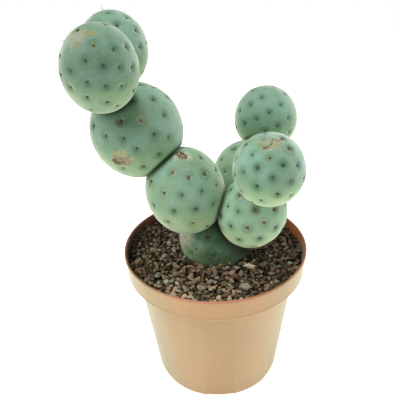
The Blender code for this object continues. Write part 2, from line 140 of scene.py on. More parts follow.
# Loose stones dropped on the bed. The grit rises in a mound round the stem, more so to the front, and in a
# bank along the wall. Packing is how far apart stones rest, and clearance how far they stay from the stem
# and the wall, both as shares of their radii. Over 1, fines makes small stones commoner.
STONE_TOP = 81.0 * MM
STONE_TRIES = 14
STONE_PACKING = 0.8
STONE_CLEARANCE = 0.9
STONE_FINES = 1.35
MOUND = 3.4 * MM
MOUND_REACH = 13.0 * MM
DRIFT = 1.9 * MM
DRIFT_WAY = (0.5, -0.87)
BANK = 1.7 * MM
BANK_REACH = 9.0 * MM
SEEN_STONE_SUNK = 0.3
SEEN_STONE_ROUNDS = 5

# Shape of a stone: its width and height for a length of 1, how far its corners are shaken and stick out,
# how much larger it is made than the radius that it was dropped with, and its tilt
STONE_WIDTH = (0.5, 0.85)
STONE_HEIGHT = (0.4, 0.7)
STONE_SHAKEN = 0.4
STONE_CORNERS = (0.85, 1.2)
STONE_GROWN = 1.15
STONE_SPREAD = 1.06
STONE_TILT = 0.5
STONE_SHARP_ANGLE = 32

# Colour of a stone: how common each of the five colours is, how bright, and the painted light and shade on
# it: paler to the front left and darker towards the back and right, and darker in the depth between other
# stones and at the wall
STONE_SHARES = (0.3, 0.42, 0.19, 0.06, 0.03)
STONE_TONES = (0.2, 1.65)
PALEST_STONE = (0.46, 0.42, 0.35)
ACROSS_SHARE = 0.25
BACKWARD_LINES = (-22 * MM, 12 * MM)
BACKWARD_TONES = (1.26, 0.42)
SHADED_DEPTHS = (0.6 * MM, 3.2 * MM)
SHADED_TONES = (1.1, 0.3)
WALL_SHADE_REACH = (1.5 * MM, 8.0 * MM)
WALL_SHADE = (0.55, 1)

# The largest stones on top, each by the pixel of the photograph where it lies, with its radius, which of
# the stones' colours it has, and how pale that is, which also holds painted light and shade for where it
# lies
SEEN_STONES = (
    ((250.4, 266), 2.7 * MM, "pumice", 1.6),
    ((246, 287), 2.5 * MM, "grey", 1.0),
    ((200.5, 266.5), 2.3 * MM, "brown", 1.3),
    ((175.5, 274), 1.6 * MM, "grey", 0.95),
    ((171.5, 281), 1.5 * MM, "grey", 1.0),
    ((195.5, 280.5), 1.9 * MM, "brown", 1.15),
    ((201.5, 287.5), 2.1 * MM, "grey", 0.85),
    ((231.5, 281), 1.8 * MM, "pumice", 0.6),
    ((209.5, 282), 1.8 * MM, "grey", 0.75),
    ((239, 291.5), 1.7 * MM, "grey", 1.0),
    ((234, 276), 2.2 * MM, "red", 0.6),
    ((219, 264), 1.7 * MM, "grey", 0.5),
)

# Skin of every stem segment: its seats on its neighbours, its areoles in pits that have a nub in the
# middle, and its swells. Crowding over 1 sets areoles closer round the tip.
SEAT_GAP = 0.35 * MM
SEAT_ROUNDING = 0.5 * MM
PIT_RADIUS = 2.3 * MM
PIT_SLOPE_END = 1.2 * PIT_RADIUS
PIT_DEPTH = 0.55 * MM
PIT_DEPTHS = (0.75, 1.1)
NUB_RADIUS = 0.75 * MM
GOLDEN_ANGLE = math.pi * (3 - math.sqrt(5))
CROWDING = 1.16
AREOLES_APART = 0.8
AREOLES_FROM_SEAT = 1.35
AREOLES_ABOVE_SOIL = 2.0 * MM
SWELL_WAVES = 7
SWELL_CLOSENESS = 2.6

# How much wider than a pit, or than a scar, the ball has small faces
FINE_ROUND_PIT = 1.15
FINE_ROUND_SCAR = 1.3

# Shape of a scar, in shares of its radius: its raised edge, and the slope of its hollow
SCAR_EDGE = 0.85
SCAR_EDGE_WIDTH = 0.22
SCAR_HOLLOW = 0.5
SCAR_HOLLOW_SLOPE = (0.3, 0.8)
SCAR_REACH = 2.0
OFF_SCARS = 4.0

# Where the skin's looks begin and are full. The sides of the lowest segment are directions, and each edge
# says how closely the skin has to face that way.
# How far painted shade spreads from where a segment meets another one or the grit
CREVICE_REACH = 3.6 * MM
LOWEST_CREVICE_REACH = 6.5 * MM
GRIT_SHADE_REACH = 5.0 * MM
# Painted shadow falls on the lowest segment's side that faces this way
PAINTED_SHADE_SIDE = (0.76, -0.1, 0.64)
PAINTED_SHADE_EDGE = (0.2, 0.62)
# Painted light falls on the lowest segment's side that faces this way, which also sets where its chalky
# wear with painted sheen lies
PAINTED_LIGHT_SIDE = (-0.87, -0.35, 0.35)
PAINTED_LIGHT_EDGE = (0.45, 1.0)
PAINTED_LIGHT_WAX = 0.85
CHALK_AND_SHEEN_EDGE = (0.86, 1.0)

# Areoles: how wool and bristles are shaken, turned and sized, and how pale wool is, none of it below 0
WOOL_DETAIL = 2
WOOL_SHAKEN = (0.85, 1.12)
WOOL_OVAL = 1.15
BRISTLE_TILT = (0.15, 1.0)
BRISTLE_SHARES = (0.5, 1)
BRISTLE_OFF_MIDDLE = 0.35
BRISTLE_SIDES = 3
BRISTLE_RADII = (0.045 * MM, 0.008 * MM)
TUFT_TURN = (-0.5, 0.5)
TUFT_SIZES = (0.8, 1.2)
PALE_WOOL_SHARE = (-1.2, 0.9)

# Spines, where the frame has them, less those that would face the camera
SPINE_LENGTH = (3.0 * MM, 6.0 * MM)
SPINE_CLEARANCE = 1.5 * MM
SPINE_LEAN = 0.55
SPINE_UPWARD = 0.4
SPINE_OUTWARD = 0.5
SPINE_TESTED_AT = (0.35, 0.7, 1.0)
SPINE_SUNK = 0.6 * MM
SPINE_TIP_SHARE = 0.25
TURNED_AWAY = -0.15
SPINE_SEED = 5

# Stem segments, as the frame has them. Azimuth and elevation, in degrees, say in which direction from
# its parent's middle a segment sits. Girth and half_length are its radii across and along the way that
# it grows, in millimetres, and it leans from upright by lean degrees towards lean_azimuth. Seat is how
# deep it and its parent press into each other, in millimetres. Age runs from 0, a bluish young tip, to
# 1, grey-green old skin, and wax is how much paler its bloom is. Both are partly the skin's own colour
# and partly painted light and shade, making each segment as light or dark as the light falls on it.
Segment = namedtuple(
    "Segment",
    "name parent azimuth elevation girth half_length lean_azimuth lean seat areoles spines pressed_on "
    "age wax",
)
BASE, LEFT_1, LEFT_2 = "base_segment", "left_first_segment", "left_second_segment"
LEFT_FRONT, LEFT_BACK = "left_front_tip", "left_back_tip"
FRONT_1, FRONT_TIP = "front_first_segment", "front_tip"
BACK_1, BACK_TIP = "back_first_segment", "back_tip"
SEGMENTS = [
    Segment(BASE, None, 0, 0, 22.2, 23.3, 0, 0, 0, 48, 0, (), 0.2, 0.22),
    Segment(LEFT_1, BASE, -137.5, 60, 20.5, 24.4, -134, 15, 2.2, 56, 3, (BASE, FRONT_1), 0.35, 0.6),
    Segment(LEFT_2, LEFT_1, 158.5, 51.5, 23.2, 24.2, 149.5, 34, 7.2, 64, 7, (LEFT_1,), 0.3, 0.33),
    Segment(LEFT_FRONT, LEFT_2, -120, 58.5, 17.4, 21.5, -79.5, 32.5, 2.2, 60, 9, (LEFT_2,), 0.4, 0.0),
    Segment(LEFT_BACK, LEFT_2, 119.5, 60.5, 17.5, 19.4, 100.5, 24.5, 2.2, 60, 9, (LEFT_2,), 0.15, 0.15),
    Segment(FRONT_1, BASE, -50.5, 45.5, 17.8, 19.7, -6.5, 27.5, 2.2, 56, 3, (BASE,), 0.3, 1.0),
    Segment(FRONT_TIP, FRONT_1, -69, 63, 16.9, 18, -94, 23.5, 2.2, 54, 8, (FRONT_1,), 0.1, 0.52),
    Segment(BACK_1, BASE, 52.5, 40, 20, 21.1, 51.5, 50, 2.2, 54, 4, (BASE,), 0.5, 1.0),
    Segment(BACK_TIP, BACK_1, 61, 41, 19.4, 20.2, 71, 48, 2.2, 54, 8, (BACK_1,), 0.1, 0.2),
]
BY_NAME = {segment.name: segment for segment in SEGMENTS}
BASE_MIDDLE = np.array((1.5, 3.0, 87.5)) * MM

# Pixels of the photograph where areoles show. The spiral fills in the sides that it doesn't show.
SEEN_AREOLES = {
    BASE: ((207.4, 237), (196, 249.5), (214.4, 256.5), (184.1, 237)),
    LEFT_1: (
        (200.8, 157.4), (172, 172.2), (188.8, 177.1), (205, 173.6), (216.2, 169.4), (150.9, 181.3),
        (163.6, 193.2), (181.8, 195.3), (202.2, 191.1), (216.9, 184.8), (153.8, 205.1), (174.1, 211.2),
        (196.3, 209.4), (213.1, 204.4), (167.8, 222.4), (193, 223.8),
    ),
    LEFT_2: (
        (139.7, 84.5), (132.7, 100.6), (153.1, 99.2), (120.8, 120.9), (141.1, 120.2), (164.3, 114.9),
        (93.4, 125.9), (105.3, 136.4), (123.6, 138.5), (154.5, 134.3), (169.2, 137.8), (136.9, 149),
        (159.4, 154.6), (123.6, 168.7), (143.9, 167.3),
    ),
    LEFT_FRONT: (
        (77.3, 29.7), (93.4, 45.2), (113.8, 48.7), (126.4, 46.6), (85, 60.6),
        (103.2, 65.8), (120.1, 67.6), (132.7, 67.2), (70.3, 70.4), (70.3, 87.7), (87.1, 82.4), (106, 86.8),
        (122.2, 86.8), (87.1, 98.1), (107.4, 103.1), (91.3, 110.4),
    ),
    LEFT_BACK: ((107.7, 12.5), (117.3, 24.5), (127, 17.3), (136.2, 30.1), (140.3, 46.9)),
    FRONT_1: (
        (255.6, 210), (274.7, 209.6), (264.3, 222.9), (227.4, 206.3), (237.8, 211.7), (220.4, 216.2),
        (230.3, 226.2), (247.3, 228.3), (275.9, 227.8), (259.8, 239), (239, 240.3), (239.4, 195.5),
        (230.3, 189.3),
    ),
    FRONT_TIP: (
        (251.8, 154.5), (282.1, 138.3), (289.6, 148.2), (270, 158), (257.2, 167.7), (283.8, 165),
        (298.2, 165.3), (243.1, 172.4), (273, 177.8), (291.3, 181.1), (256.7, 186.7), (277.7, 194.7),
        (261, 200.8),
    ),
    BACK_1: ((234, 148.7), (221.6, 159.4), (224.5, 171.5)),
    BACK_TIP: (
        (252.8, 90.2), (261.9, 97.3), (250.4, 104.6), (280.6, 104.6), (269.3, 112.3), (256.8, 119.2),
        (277.5, 125.8), (240.1, 110.6), (244.5, 123.2), (264.9, 131.5), (288.4, 117.8), (284.4, 93.9),
        (289.5, 131.8),
    ),
}

# Of those, the ones with a corky ring round them, and how many more have one by chance on older segments
RINGED_AREOLES = (
    (172, 172.2), (188.8, 177.1), (205, 173.6), (150.9, 181.3), (163.6, 193.2), (216.9, 184.8),
    (264.3, 222.9), (196, 249.5), (207.4, 237), (120.8, 120.9), (141.1, 120.2),
)
RINGED_MATCH = 0.9999
RINGED_SHARE = 0.06
RINGED_FROM_AGE = 0.3

# Spines at the outline: the segment that carries each, and the pixels of its root and its tip
SEEN_SPINES = (
    (LEFT_FRONT, (64.5, 40.6), (57.5, 40.4)),
    (LEFT_2, (151.0, 87.2), (159.8, 86.4)),
    (BACK_TIP, (264.5, 88.8), (264.6, 84.0)),
    (LEFT_BACK, (94.5, 15.6), (91.5, 13.2)),
)

# Camera: it looks from the photograph's viewing angle at a point in the stem, a little left of the middle
PHOTO_SIZE = 400
LENS = 45.0
SENSOR = 36.0
CAMERA_AIM = Vector((-7.66, 0, 113.73)) * MM
CAMERA_DISTANCE = 276.88 * MM
CAMERA_PITCH = math.radians(29.42)
CAMERA_ROLL = math.radians(-2.32)
CLIP_START = 0.01

# Stage: how wide the soft lights are and where they hang, in metres, and the floor
LIGHT_SIZE = 0.5
LIGHTS = {
    "left": (-0.6, -0.3, 0.8),
    "right": (0.9, 0.05, 0.3),
    "top": (0, 0, 1.1),
    "back_left": (-0.6, 0.8, 0.35),
    "back_right": (0.6, 0.8, 0.35),
}
FLOOR_STEPS = 64
FLOOR_BELOW = 0.1 * MM


def linear(red, green, blue):
    """A screen colour, given from 0 to 255, as the linear colour that a shader takes."""
    shares = [value / 255 for value in (red, green, blue)]
    return [share / 12.92 if share <= 0.04045 else ((share + 0.055) / 1.055) ** 2.4 for share in shares]


# Cork scars of each segment: the pixel of the photograph where its middle shows, its radius and how far its
# edge stands up, both in millimetres, how much of the green it hides, and its colour
Scar = namedtuple("Scar", "pixel radius relief cover colour")
TAN = linear(190, 176, 138)
BROWN = linear(112, 84, 58)
CREAM = linear(226, 220, 190)
RUST = linear(176, 146, 100)
OCHRE = linear(172, 150, 78)
PINK = linear(184, 178, 146)
BARK = linear(162, 136, 106)
CHALK_SHEEN = linear(240, 234, 204)
STRAW = linear(184, 168, 116)
STRAW_PALE = linear(206, 194, 150)
SCARS = {
    LEFT_2: (
        ((117.5, 161), 3, 0.25, 0.86, BARK), ((125.5, 160.5), 3.2, 0.25, 0.84, TAN),
        ((115.5, 154.3), 2.2, 0.15, 0.62, STRAW), ((123.5, 154), 2.4, 0.15, 0.62, STRAW_PALE),
        ((131.5, 159.5), 1.5, 0.1, 0.5, STRAW_PALE), ((123.6, 168), 1.5, 0.1, 0.45, STRAW),
        ((119.8, 121.5), 2.3, 0.1, 0.45, BROWN), ((142, 118.5), 2, 0.1, 0.4, PINK),
    ),
    LEFT_1: (
        ((177, 149.8), 2.2, 0.1, 0.5, PINK), ((175.6, 157), 1.5, 0.05, 0.45, CREAM),
        ((179.6, 154.6), 2.6, 0.3, 1.0, STRAW_PALE), ((183.8, 156.4), 2.2, 0.2, 0.95, STRAW_PALE),
        ((188.8, 157.6), 1.6, 0.1, 0.7, CREAM), ((187, 153.6), 1.4, 0.05, 0.4, CREAM),
        ((217, 184.5), 2.2, 0.1, 0.4, TAN), ((193.5, 223.8), 2.1, 0.1, 0.4, RUST),
        ((173, 173), 1.6, 0.1, 0.3, TAN), ((164.8, 194), 1.5, 0.1, 0.25, TAN),
        ((188.5, 177.5), 1.7, 0.1, 0.3, BROWN),
    ),
    LEFT_FRONT: (
        ((76.5, 36.5), 4.6, 0.05, 0.5, PINK), ((72.5, 42), 3.2, 0.05, 0.4, PINK),
        ((87.3, 33.8), 1.6, 0.1, 0.55, OCHRE), ((91.5, 33.2), 1.3, 0.1, 0.5, OCHRE),
        ((93.5, 45.4), 1.3, 0.1, 0.55, OCHRE), ((75, 44.6), 1.7, 0.1, 0.45, RUST),
        ((79, 44.8), 1.5, 0.1, 0.45, RUST), ((77.5, 29.5), 1.6, 0.15, 0.4, BROWN),
    ),
    FRONT_TIP: (
        ((270.5, 148.6), 1.4, 0.15, 0.85, CREAM), ((266, 141.5), 3.2, 0.1, 0.55, PINK),
        ((265.5, 147), 1.7, 0.1, 0.6, RUST), ((277.5, 141), 2.6, 0.1, 0.6, STRAW),
        ((275.5, 146.5), 2.2, 0.05, 0.5, STRAW), ((273, 136.5), 2.4, 0.05, 0.4, PINK),
        ((259, 141), 2, 0.05, 0.35, PINK), ((283, 138.8), 1.7, 0.1, 0.45, BROWN),
        ((270.5, 157.5), 1.4, 0.1, 0.4, RUST), ((290, 149.5), 2.6, 0.1, 0.35, BROWN),
        ((291, 181), 2.2, 0.05, 0.3, BROWN),
    ),
    # The two brown scars round areoles just under the front tip are partly brown cork and partly painted
    # shadow of the tip
    FRONT_1: (
        ((239.8, 197.5), 1.2, 0.1, 0.6, CREAM), ((256, 209.5), 1.9, 0.1, 0.42, BROWN),
        ((275.5, 208.8), 1.8, 0.1, 0.4, BROWN), ((264.5, 222.5), 1.8, 0.1, 0.4, TAN),
    ),
    # Along the lowest segment's left outline, the chalky scars are partly worn wax and partly painted sheen
    BASE: (
        ((182.8, 235), 2.1, 0.1, 0.62, CHALK_SHEEN), ((189, 236), 2.2, 0.1, 0.4, CHALK_SHEEN),
        ((181.8, 240.5), 1.9, 0.05, 0.62, CHALK_SHEEN), ((182.6, 246), 1.9, 0.05, 0.62, CHALK_SHEEN),
        ((185.3, 251.5), 1.8, 0.05, 0.58, CHALK_SHEEN), ((190, 256), 1.5, 0.05, 0.45, CHALK_SHEEN),
        ((196, 249.5), 1.9, 0.15, 0.35, CREAM), ((207.5, 236.5), 1.8, 0.15, 0.5, BROWN),
        ((215, 257.8), 1.6, 0.1, 0.35, PINK),
    ),
}

# Creases where the skin has folded: pixels along each, its half width and its depth
Crease = namedtuple("Crease", "segment pixels width depth")
CREASES = [
    Crease(FRONT_TIP, ((264, 148.2), (268, 147.6), (271.5, 144.2), (272.6, 139)), 0.5 * MM, 0.5 * MM),
    Crease(FRONT_TIP, ((257.5, 145.8), (262, 144.6)), 0.4 * MM, 0.2 * MM),
    Crease(FRONT_TIP, ((273, 139.5), (278, 141.4), (282, 139.4)), 0.4 * MM, 0.25 * MM),
    Crease(LEFT_1, ((176.5, 153.5), (181, 157.2), (187, 157.5)), 0.5 * MM, 0.35 * MM),
    Crease(LEFT_2, ((113.5, 159.5), (117, 162), (124, 161.5)), 0.5 * MM, 0.3 * MM),
]


# Settings


def size(name, description, default):
    return FloatProperty(
        name=name, description=description, default=default, min=0, precision=5, subtype="DISTANCE",
        unit="LENGTH",
    )


def share(name, description, default):
    return FloatProperty(
        name=name, description=description, default=default, min=0, max=1, subtype="FACTOR",
    )


def amount(name, description, default):
    return FloatProperty(name=name, description=description, default=default, min=0)


def count(name, description, default):
    return IntProperty(name=name, description=description, default=default, min=1)


def colour(name, description, red, green, blue):
    return FloatVectorProperty(
        name=name, description=description, default=linear(red, green, blue), size=3, min=0, max=1,
        subtype="COLOR",
    )


class PotSettings(PropertyGroup):
    """The nursery pot."""

    steps: count("Steps", "Faces round the pot", 128)
    corner_steps: count("Corner steps", "Faces across each rounded corner", 4)
    plastic: colour("Plastic", "Colour of the moulded plastic", 186, 150, 97)
    # The inner wall's darker, redder colour is painted shade, with painted reddish light bounced round
    # inside the pot
    inside: colour("Inside", "Colour of the inner wall", 184, 102, 58)
    # The lip colours are painted light: a brown painted shade along its back and sides, and a pinker
    # painted glow of light through the thin plastic at its front
    lip: colour("Lip", "Brown edge of the lip", 158, 98, 70)
    front_lip: colour("Front lip", "Pinker edge of the lip at the front", 208, 132, 98)
    gloss: share("Roughness", "Roughness of the plastic", 0.34)


class GritSettings(PropertyGroup):
    """The bed of grit and its stones."""

    smallest: size("Smallest stone", "Radius of the smallest stone", 0.92 * MM)
    largest: size("Largest stone", "Radius of the largest stone", 2.5 * MM)
    stones: count("Stones", "Number of stones dropped", 4400)
    shapes: count("Shapes", "Number of different stone shapes", 14)
    points: count("Points", "Points in the hull of each stone", 11)
    seed: count("Seed", "Seed of the scatter", 17)
    dark: colour("Dark lava", "Darkest stones", 80, 68, 52)
    brown: colour("Brown lava", "Commonest stones", 132, 112, 90)
    grey: colour("Grey lava", "Greyer stones", 150, 141, 124)
    red: colour("Red lava", "Reddish stones", 140, 104, 88)
    pumice: colour("Pumice", "Palest stones", 214, 206, 186)


class SkinSettings(PropertyGroup):
    """The waxy skin of the stem segments."""

    bloom: colour("Bloom", "Bluish wax of the skin", 115, 155, 130)
    blue: colour("Blue bloom", "Bluest patches of the wax", 122, 166, 152)
    leaf: colour("Green", "Green of the skin between the areoles", 96, 139, 100)
    ring: colour("Ring", "Pale corky ring round some areoles", 206, 208, 172)
    ring_edge: colour("Ring edge", "Brown inner edge of such a ring", 112, 102, 72)
    old: colour("Old skin", "Grey-green that the skin turns with age", 112, 140, 106)
    underside: colour("Underside", "Yellower green of the lower half", 152, 186, 132)
    # Painted shade where segments meet and next to the grit
    crevice: colour("Crevice", "Dull, shaded skin where two segments meet", 52, 82, 54)
    crease: colour("Crease", "Brown floor of a crease", 92, 68, 46)
    specks: colour("Specks", "Pale specks of thick wax", 196, 214, 186)
    # Partly chalky worn wax and partly painted sheen, at the lowest segment's left outline
    chalk_sheen: colour("Chalk", "Weathered skin of the lowest segment, at its outer side", 228, 230, 200)
    # Painted shadow: the lowest segment's right side takes this colour
    soiled: colour("Soiled", "Skin of the lowest segment on its shaded, soiled side", 32, 32, 18)
    # Halo and pit greens are partly darker skin and partly painted shade in each areole's pit
    halo: colour("Halo", "Dark green round each areole", 66, 112, 78)
    pit: colour("Pit", "Darkest green, at the edge of each areole", 52, 92, 60)
    rim: colour("Rim", "Tint of the sheen that the wax has at the outline", 240, 240, 224)
    detail: count("Detail", "Subdivisions of the ball that a segment starts from", 6)
    halo_radius: size("Halo radius", "How far the dark green reaches from an areole", 4.6 * MM)
    swell: size("Swell", "Height of the skin's low swells", 0.25 * MM)
    roughness: share("Roughness", "Roughness of the waxy skin", 0.6)
    sheen: share("Sheen", "Pale sheen of the wax at the outline", 1.0)
    lowest_sheen: share("Lowest sheen", "The same on the lowest segment, whose wax is worn", 0.35)


class AreoleSettings(PropertyGroup):
    """The woolly areoles and their short bristles."""

    radius: size("Radius", "Radius of a wool cushion", 0.4 * MM)
    height: size("Height", "Height of a wool cushion", 0.5 * MM)
    bristles: count("Bristles", "Short bristles in each areole", 7)
    bristle_length: size("Bristle length", "Length of the longest bristle", 0.9 * MM)
    variants: count("Variants", "Number of different tufts", 8)
    wool: colour("Wool", "Dark wool of an areole", 46, 70, 46)
    pale_wool: colour("Pale wool", "Browner wool of some areoles", 118, 108, 74)
    bristle: colour("Bristle", "Dull green-brown of the bristles", 90, 98, 64)


class SpineSettings(PropertyGroup):
    """The few thin spines."""

    root_radius: size("Root radius", "Radius of a spine where it leaves the areole", 0.16 * MM)
    bend: size("Bend", "How far a spine bows to the side", 0.35 * MM)
    sides: count("Sides", "Sides of a spine", 6)
    rows: count("Rows", "Rows of faces along a spine", 5)
    root: colour("Root", "Dark foot of a spine", 52, 46, 34)
    tip: colour("Tip", "Greyer tip of a spine", 122, 116, 100)


class StageSettings(PropertyGroup):
    """The floor, the lights and the camera."""

    floor_radius: size("Floor radius", "Radius of the pale floor", 1.1)
    floor_glow: amount("Floor glow", "Light that the overexposed floor gives off", 0.74)
    haze: amount("Haze", "Strength of the even light from all round", 0.04)
    left: amount("Left light", "Power of the soft light high on the left, in watts", 4.1)
    right: amount("Right light", "Power of the soft light low on the right, in watts", 3.2)
    top: amount("Top light", "Power of the soft light above, in watts", 6.0)
    back_left: amount("Back left light", "Power of the soft light behind on the left, in watts", 1.7)
    back_right: amount("Back right light", "Power of the soft light behind on the right, in watts", 2.8)


# Camera geometry


def camera_frame():
    """The camera's place, and its right, up and forward directions."""
    forward = Vector((0, math.cos(CAMERA_PITCH), -math.sin(CAMERA_PITCH)))
    level = Vector((1, 0, 0))
    upright = Vector((0, math.sin(CAMERA_PITCH), math.cos(CAMERA_PITCH)))
    right = level * math.cos(CAMERA_ROLL) + upright * math.sin(CAMERA_ROLL)
    up = upright * math.cos(CAMERA_ROLL) - level * math.sin(CAMERA_ROLL)
    return CAMERA_AIM - forward * CAMERA_DISTANCE, right, up, forward


def sight_line(pixel):
    """(start, direction) of the line from the camera through a pixel of the photograph."""
    place, right, up, forward = camera_frame()
    scale = PHOTO_SIZE * LENS / SENSOR
    across = (pixel[0] - PHOTO_SIZE / 2) / scale
    down = (pixel[1] - PHOTO_SIZE / 2) / scale
    return np.array(place), np.array((forward + right * across - up * down).normalized())


# Stem geometry: the frame's own rules for where each segment, areole and spine is


def direction_of(azimuth, elevation):
    """A direction from its angles in degrees: azimuth from +X round to +Y, elevation up from level."""
    turn, rise = math.radians(azimuth), math.radians(elevation)
    return np.array((math.cos(rise) * math.cos(turn), math.cos(rise) * math.sin(turn), math.sin(rise)))


def growth_of(segment):
    return direction_of(segment.lean_azimuth, 90 - segment.lean)


def basis_of(segment):
    """Columns are the segment's own X and Y and the way that it grows."""
    growth = growth_of(segment)
    side = np.cross((0, 0, 1), growth) if segment.lean else np.array((1.0, 0, 0))
    side /= np.linalg.norm(side)
    return np.stack((side, np.cross(growth, side), growth), axis=1)


def reach_along(segment, directions):
    """From the segment's middle to its smooth surface along world directions."""
    along = directions @ growth_of(segment)
    girth, half_length = segment.girth * MM, segment.half_length * MM
    return 1 / np.sqrt((1 - along**2) / girth**2 + along**2 / half_length**2)


def middle_of(segment):
    """A segment's middle: as far from its parent's as the two reach, less what they press together."""
    if segment.parent is None:
        return BASE_MIDDLE
    parent = BY_NAME[segment.parent]
    way = direction_of(segment.azimuth, segment.elevation)
    distance = reach_along(parent, way) + reach_along(segment, -way) - segment.seat * MM
    return middle_of(parent) + way * distance


def distance_to(start, directions, segment, extra):
    """From start along each direction to the segment's surface grown by extra, infinity where it misses."""
    girth, half_length = segment.girth * MM + extra, segment.half_length * MM + extra
    shrink = basis_of(segment) / (girth, girth, half_length)
    origin = (start - middle_of(segment)) @ shrink
    rays = directions @ shrink
    a, b, c = (rays**2).sum(axis=-1), 2 * rays @ origin, origin @ origin - 1
    below = b * b - 4 * a * c
    nearest = (-b - np.sqrt(np.maximum(below, 0))) / (2 * a)
    return np.where((below < 0) | (b > 0), np.inf, nearest)


def spiral(number, crowding=1.0):
    """Directions on a golden-angle spiral from +Z to -Z, closer together round +Z if crowding is over 1."""
    index = np.arange(number)
    height = 1 - 2 * ((index + 0.5) / number) ** crowding
    out = np.sqrt(1 - height**2)
    angle = index * GOLDEN_ANGLE
    return np.stack((out * np.cos(angle), out * np.sin(angle), height), axis=1)


def seats_of(segment):
    """(world direction, angular radius) of each place where the segment meets a neighbour."""
    seats = []
    for other in SEGMENTS:
        if other.name not in segment.pressed_on and segment.name not in other.pressed_on:
            continue
        between = middle_of(other) - middle_of(segment)
        distance = np.linalg.norm(between)
        towards = between / distance
        reach = reach_along(segment, towards)
        bite = reach + reach_along(other, -towards) - distance + SEAT_GAP
        seats.append((towards, math.sqrt(bite / reach)))
    return seats


def directions_at(segment, pixels):
    """World directions from a segment's middle to where lines of sight meet its smooth skin."""
    found = []
    for pixel in pixels:
        start, way = sight_line(pixel)
        distance = distance_to(start, way, segment, 0.0)
        if np.isfinite(distance):
            outward = start + way * distance - middle_of(segment)
            found.append(outward / np.linalg.norm(outward))
    return np.array(found)


def points_at(segment, pixels):
    """Points of a segment's smooth skin where lines of sight meet it."""
    directions = directions_at(segment, pixels)
    return middle_of(segment) + directions * reach_along(segment, directions)[:, None]


def open_areoles(segment):
    """World directions of the areoles that are open to the air, from the growing tip down.

    The spiral's areoles count only where they are far enough from the ones that the photograph shows.
    Spacing is the angle between neighbours if that many are spread evenly over a ball.
    """
    seen = directions_at(segment, SEEN_AREOLES[segment.name])
    directions = spiral(segment.areoles, CROWDING) @ basis_of(segment).T
    spacing = math.sqrt(8 * math.pi / (math.sqrt(3) * segment.areoles))
    is_open = (directions @ seen.T).max(axis=1) < math.cos(AREOLES_APART * spacing)
    margin = PIT_RADIUS / (segment.girth * MM)
    for way, radius in seats_of(segment):
        angle = np.arccos(np.clip(directions @ way, -1, 1))
        is_open &= angle >= AREOLES_FROM_SEAT * radius + margin
    if segment.parent is None:
        height = middle_of(segment)[2] + directions[:, 2] * segment.girth * MM
        is_open &= height >= SOIL_LEVEL + AREOLES_ABOVE_SOIL
    directions = np.concatenate((seen, directions[is_open]))
    return directions[np.argsort(-directions @ growth_of(segment))]


def is_clear(point, segment):
    away = point - middle_of(segment)
    distance = np.linalg.norm(away)
    return distance > reach_along(segment, away / distance) + SPINE_CLEARANCE


def spine_places(segment, rng):
    """(root, direction, length) of each spine, round the tip and clear of every other segment.

    Of those, only the ones that the photograph can't show: it shows hardly any spines.
    """
    growth = growth_of(segment)
    others = [other for other in SEGMENTS if other.name != segment.name]
    places = []
    for outward in open_areoles(segment):
        if len(places) == segment.spines:
            break
        sideways = np.array([rng.uniform(-1, 1) for _ in range(3)])
        way = outward + SPINE_LEAN * (SPINE_UPWARD * growth + sideways)
        way /= np.linalg.norm(way)
        length = rng.uniform(*SPINE_LENGTH)
        root = middle_of(segment) + outward * (reach_along(segment, outward) - PIT_DEPTH)
        reached = [root + way * length * part for part in SPINE_TESTED_AT]
        free = all(is_clear(point, other) for point in reached for other in others)
        if free and way @ outward > SPINE_OUTWARD:
            places.append((root, way, length))
    camera = np.array(camera_frame()[0])
    limit = TURNED_AWAY * segment.girth * MM * CAMERA_DISTANCE
    return [place for place in places if (camera - place[0]) @ (place[0] - middle_of(segment)) < limit]


def seen_spines(segment):
    """(root, direction, length) of each spine that the photograph shows at a segment's outline."""
    forward = camera_frame()[3]
    places = []
    for name, root_pixel, tip_pixel in SEEN_SPINES:
        if name == segment.name:
            root = points_at(segment, [root_pixel])[0]
            start, way = sight_line(tip_pixel)
            run = start + way * ((root - start) @ forward) / (way @ forward) - root
            places.append((root, run / np.linalg.norm(run), np.linalg.norm(run)))
    return places


# Mesh tools


def smoothstep(value, start, end):
    """0 at start and before it, 1 at end and beyond it, and smooth between."""
    part = np.clip((value - start) / (end - start), 0, 1)
    return part * part * (3 - 2 * part)


def store(mesh, **looks):
    """Keeps one number, or one colour, for each point of a mesh, under the name of each look."""
    for name, values in looks.items():
        values = np.asarray(values, np.float32)
        is_colour = values.ndim == 2
        kept = mesh.attributes.new(name, "FLOAT_COLOR" if is_colour else "FLOAT", "POINT")
        kept.data.foreach_set("color" if is_colour else "value", values.ravel())


def points_of(mesh):
    points = np.empty(len(mesh.vertices) * 3, np.float32)
    mesh.vertices.foreach_get("co", points)
    return points.reshape(-1, 3).astype(float)


def set_points(mesh, points):
    mesh.vertices.foreach_set("co", points.astype(np.float32).ravel())
    mesh.update()


def add_piece(name, mesh, materials, sharp_angle=None):
    """Links a mesh as a piece that rides on the root body."""
    for material in materials:
        mesh.materials.append(material)
    mesh.shade_smooth()
    if sharp_angle is not None:
        mesh.set_sharp_from_angle(angle=math.radians(sharp_angle))
    piece = bpy.data.objects.new(name, mesh)
    bpy.context.scene.collection.objects.link(piece)
    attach(piece, "root")
    return piece


def as_mesh(name, bm):
    mesh = bpy.data.meshes.new(name)
    bm.to_mesh(mesh)
    bm.free()
    return mesh


def add_copy(bm, mesh, matrix, tint=None):
    """Adds a copy of a mesh to a bmesh, placed by the matrix and tinted all over."""
    if tint is not None:
        mesh.attributes["tint"].data.foreach_set("color", np.tile((*tint, 1), len(mesh.vertices)))
    placed = mesh.copy()
    placed.transform(matrix)
    bm.from_mesh(placed)
    bpy.data.meshes.remove(placed)


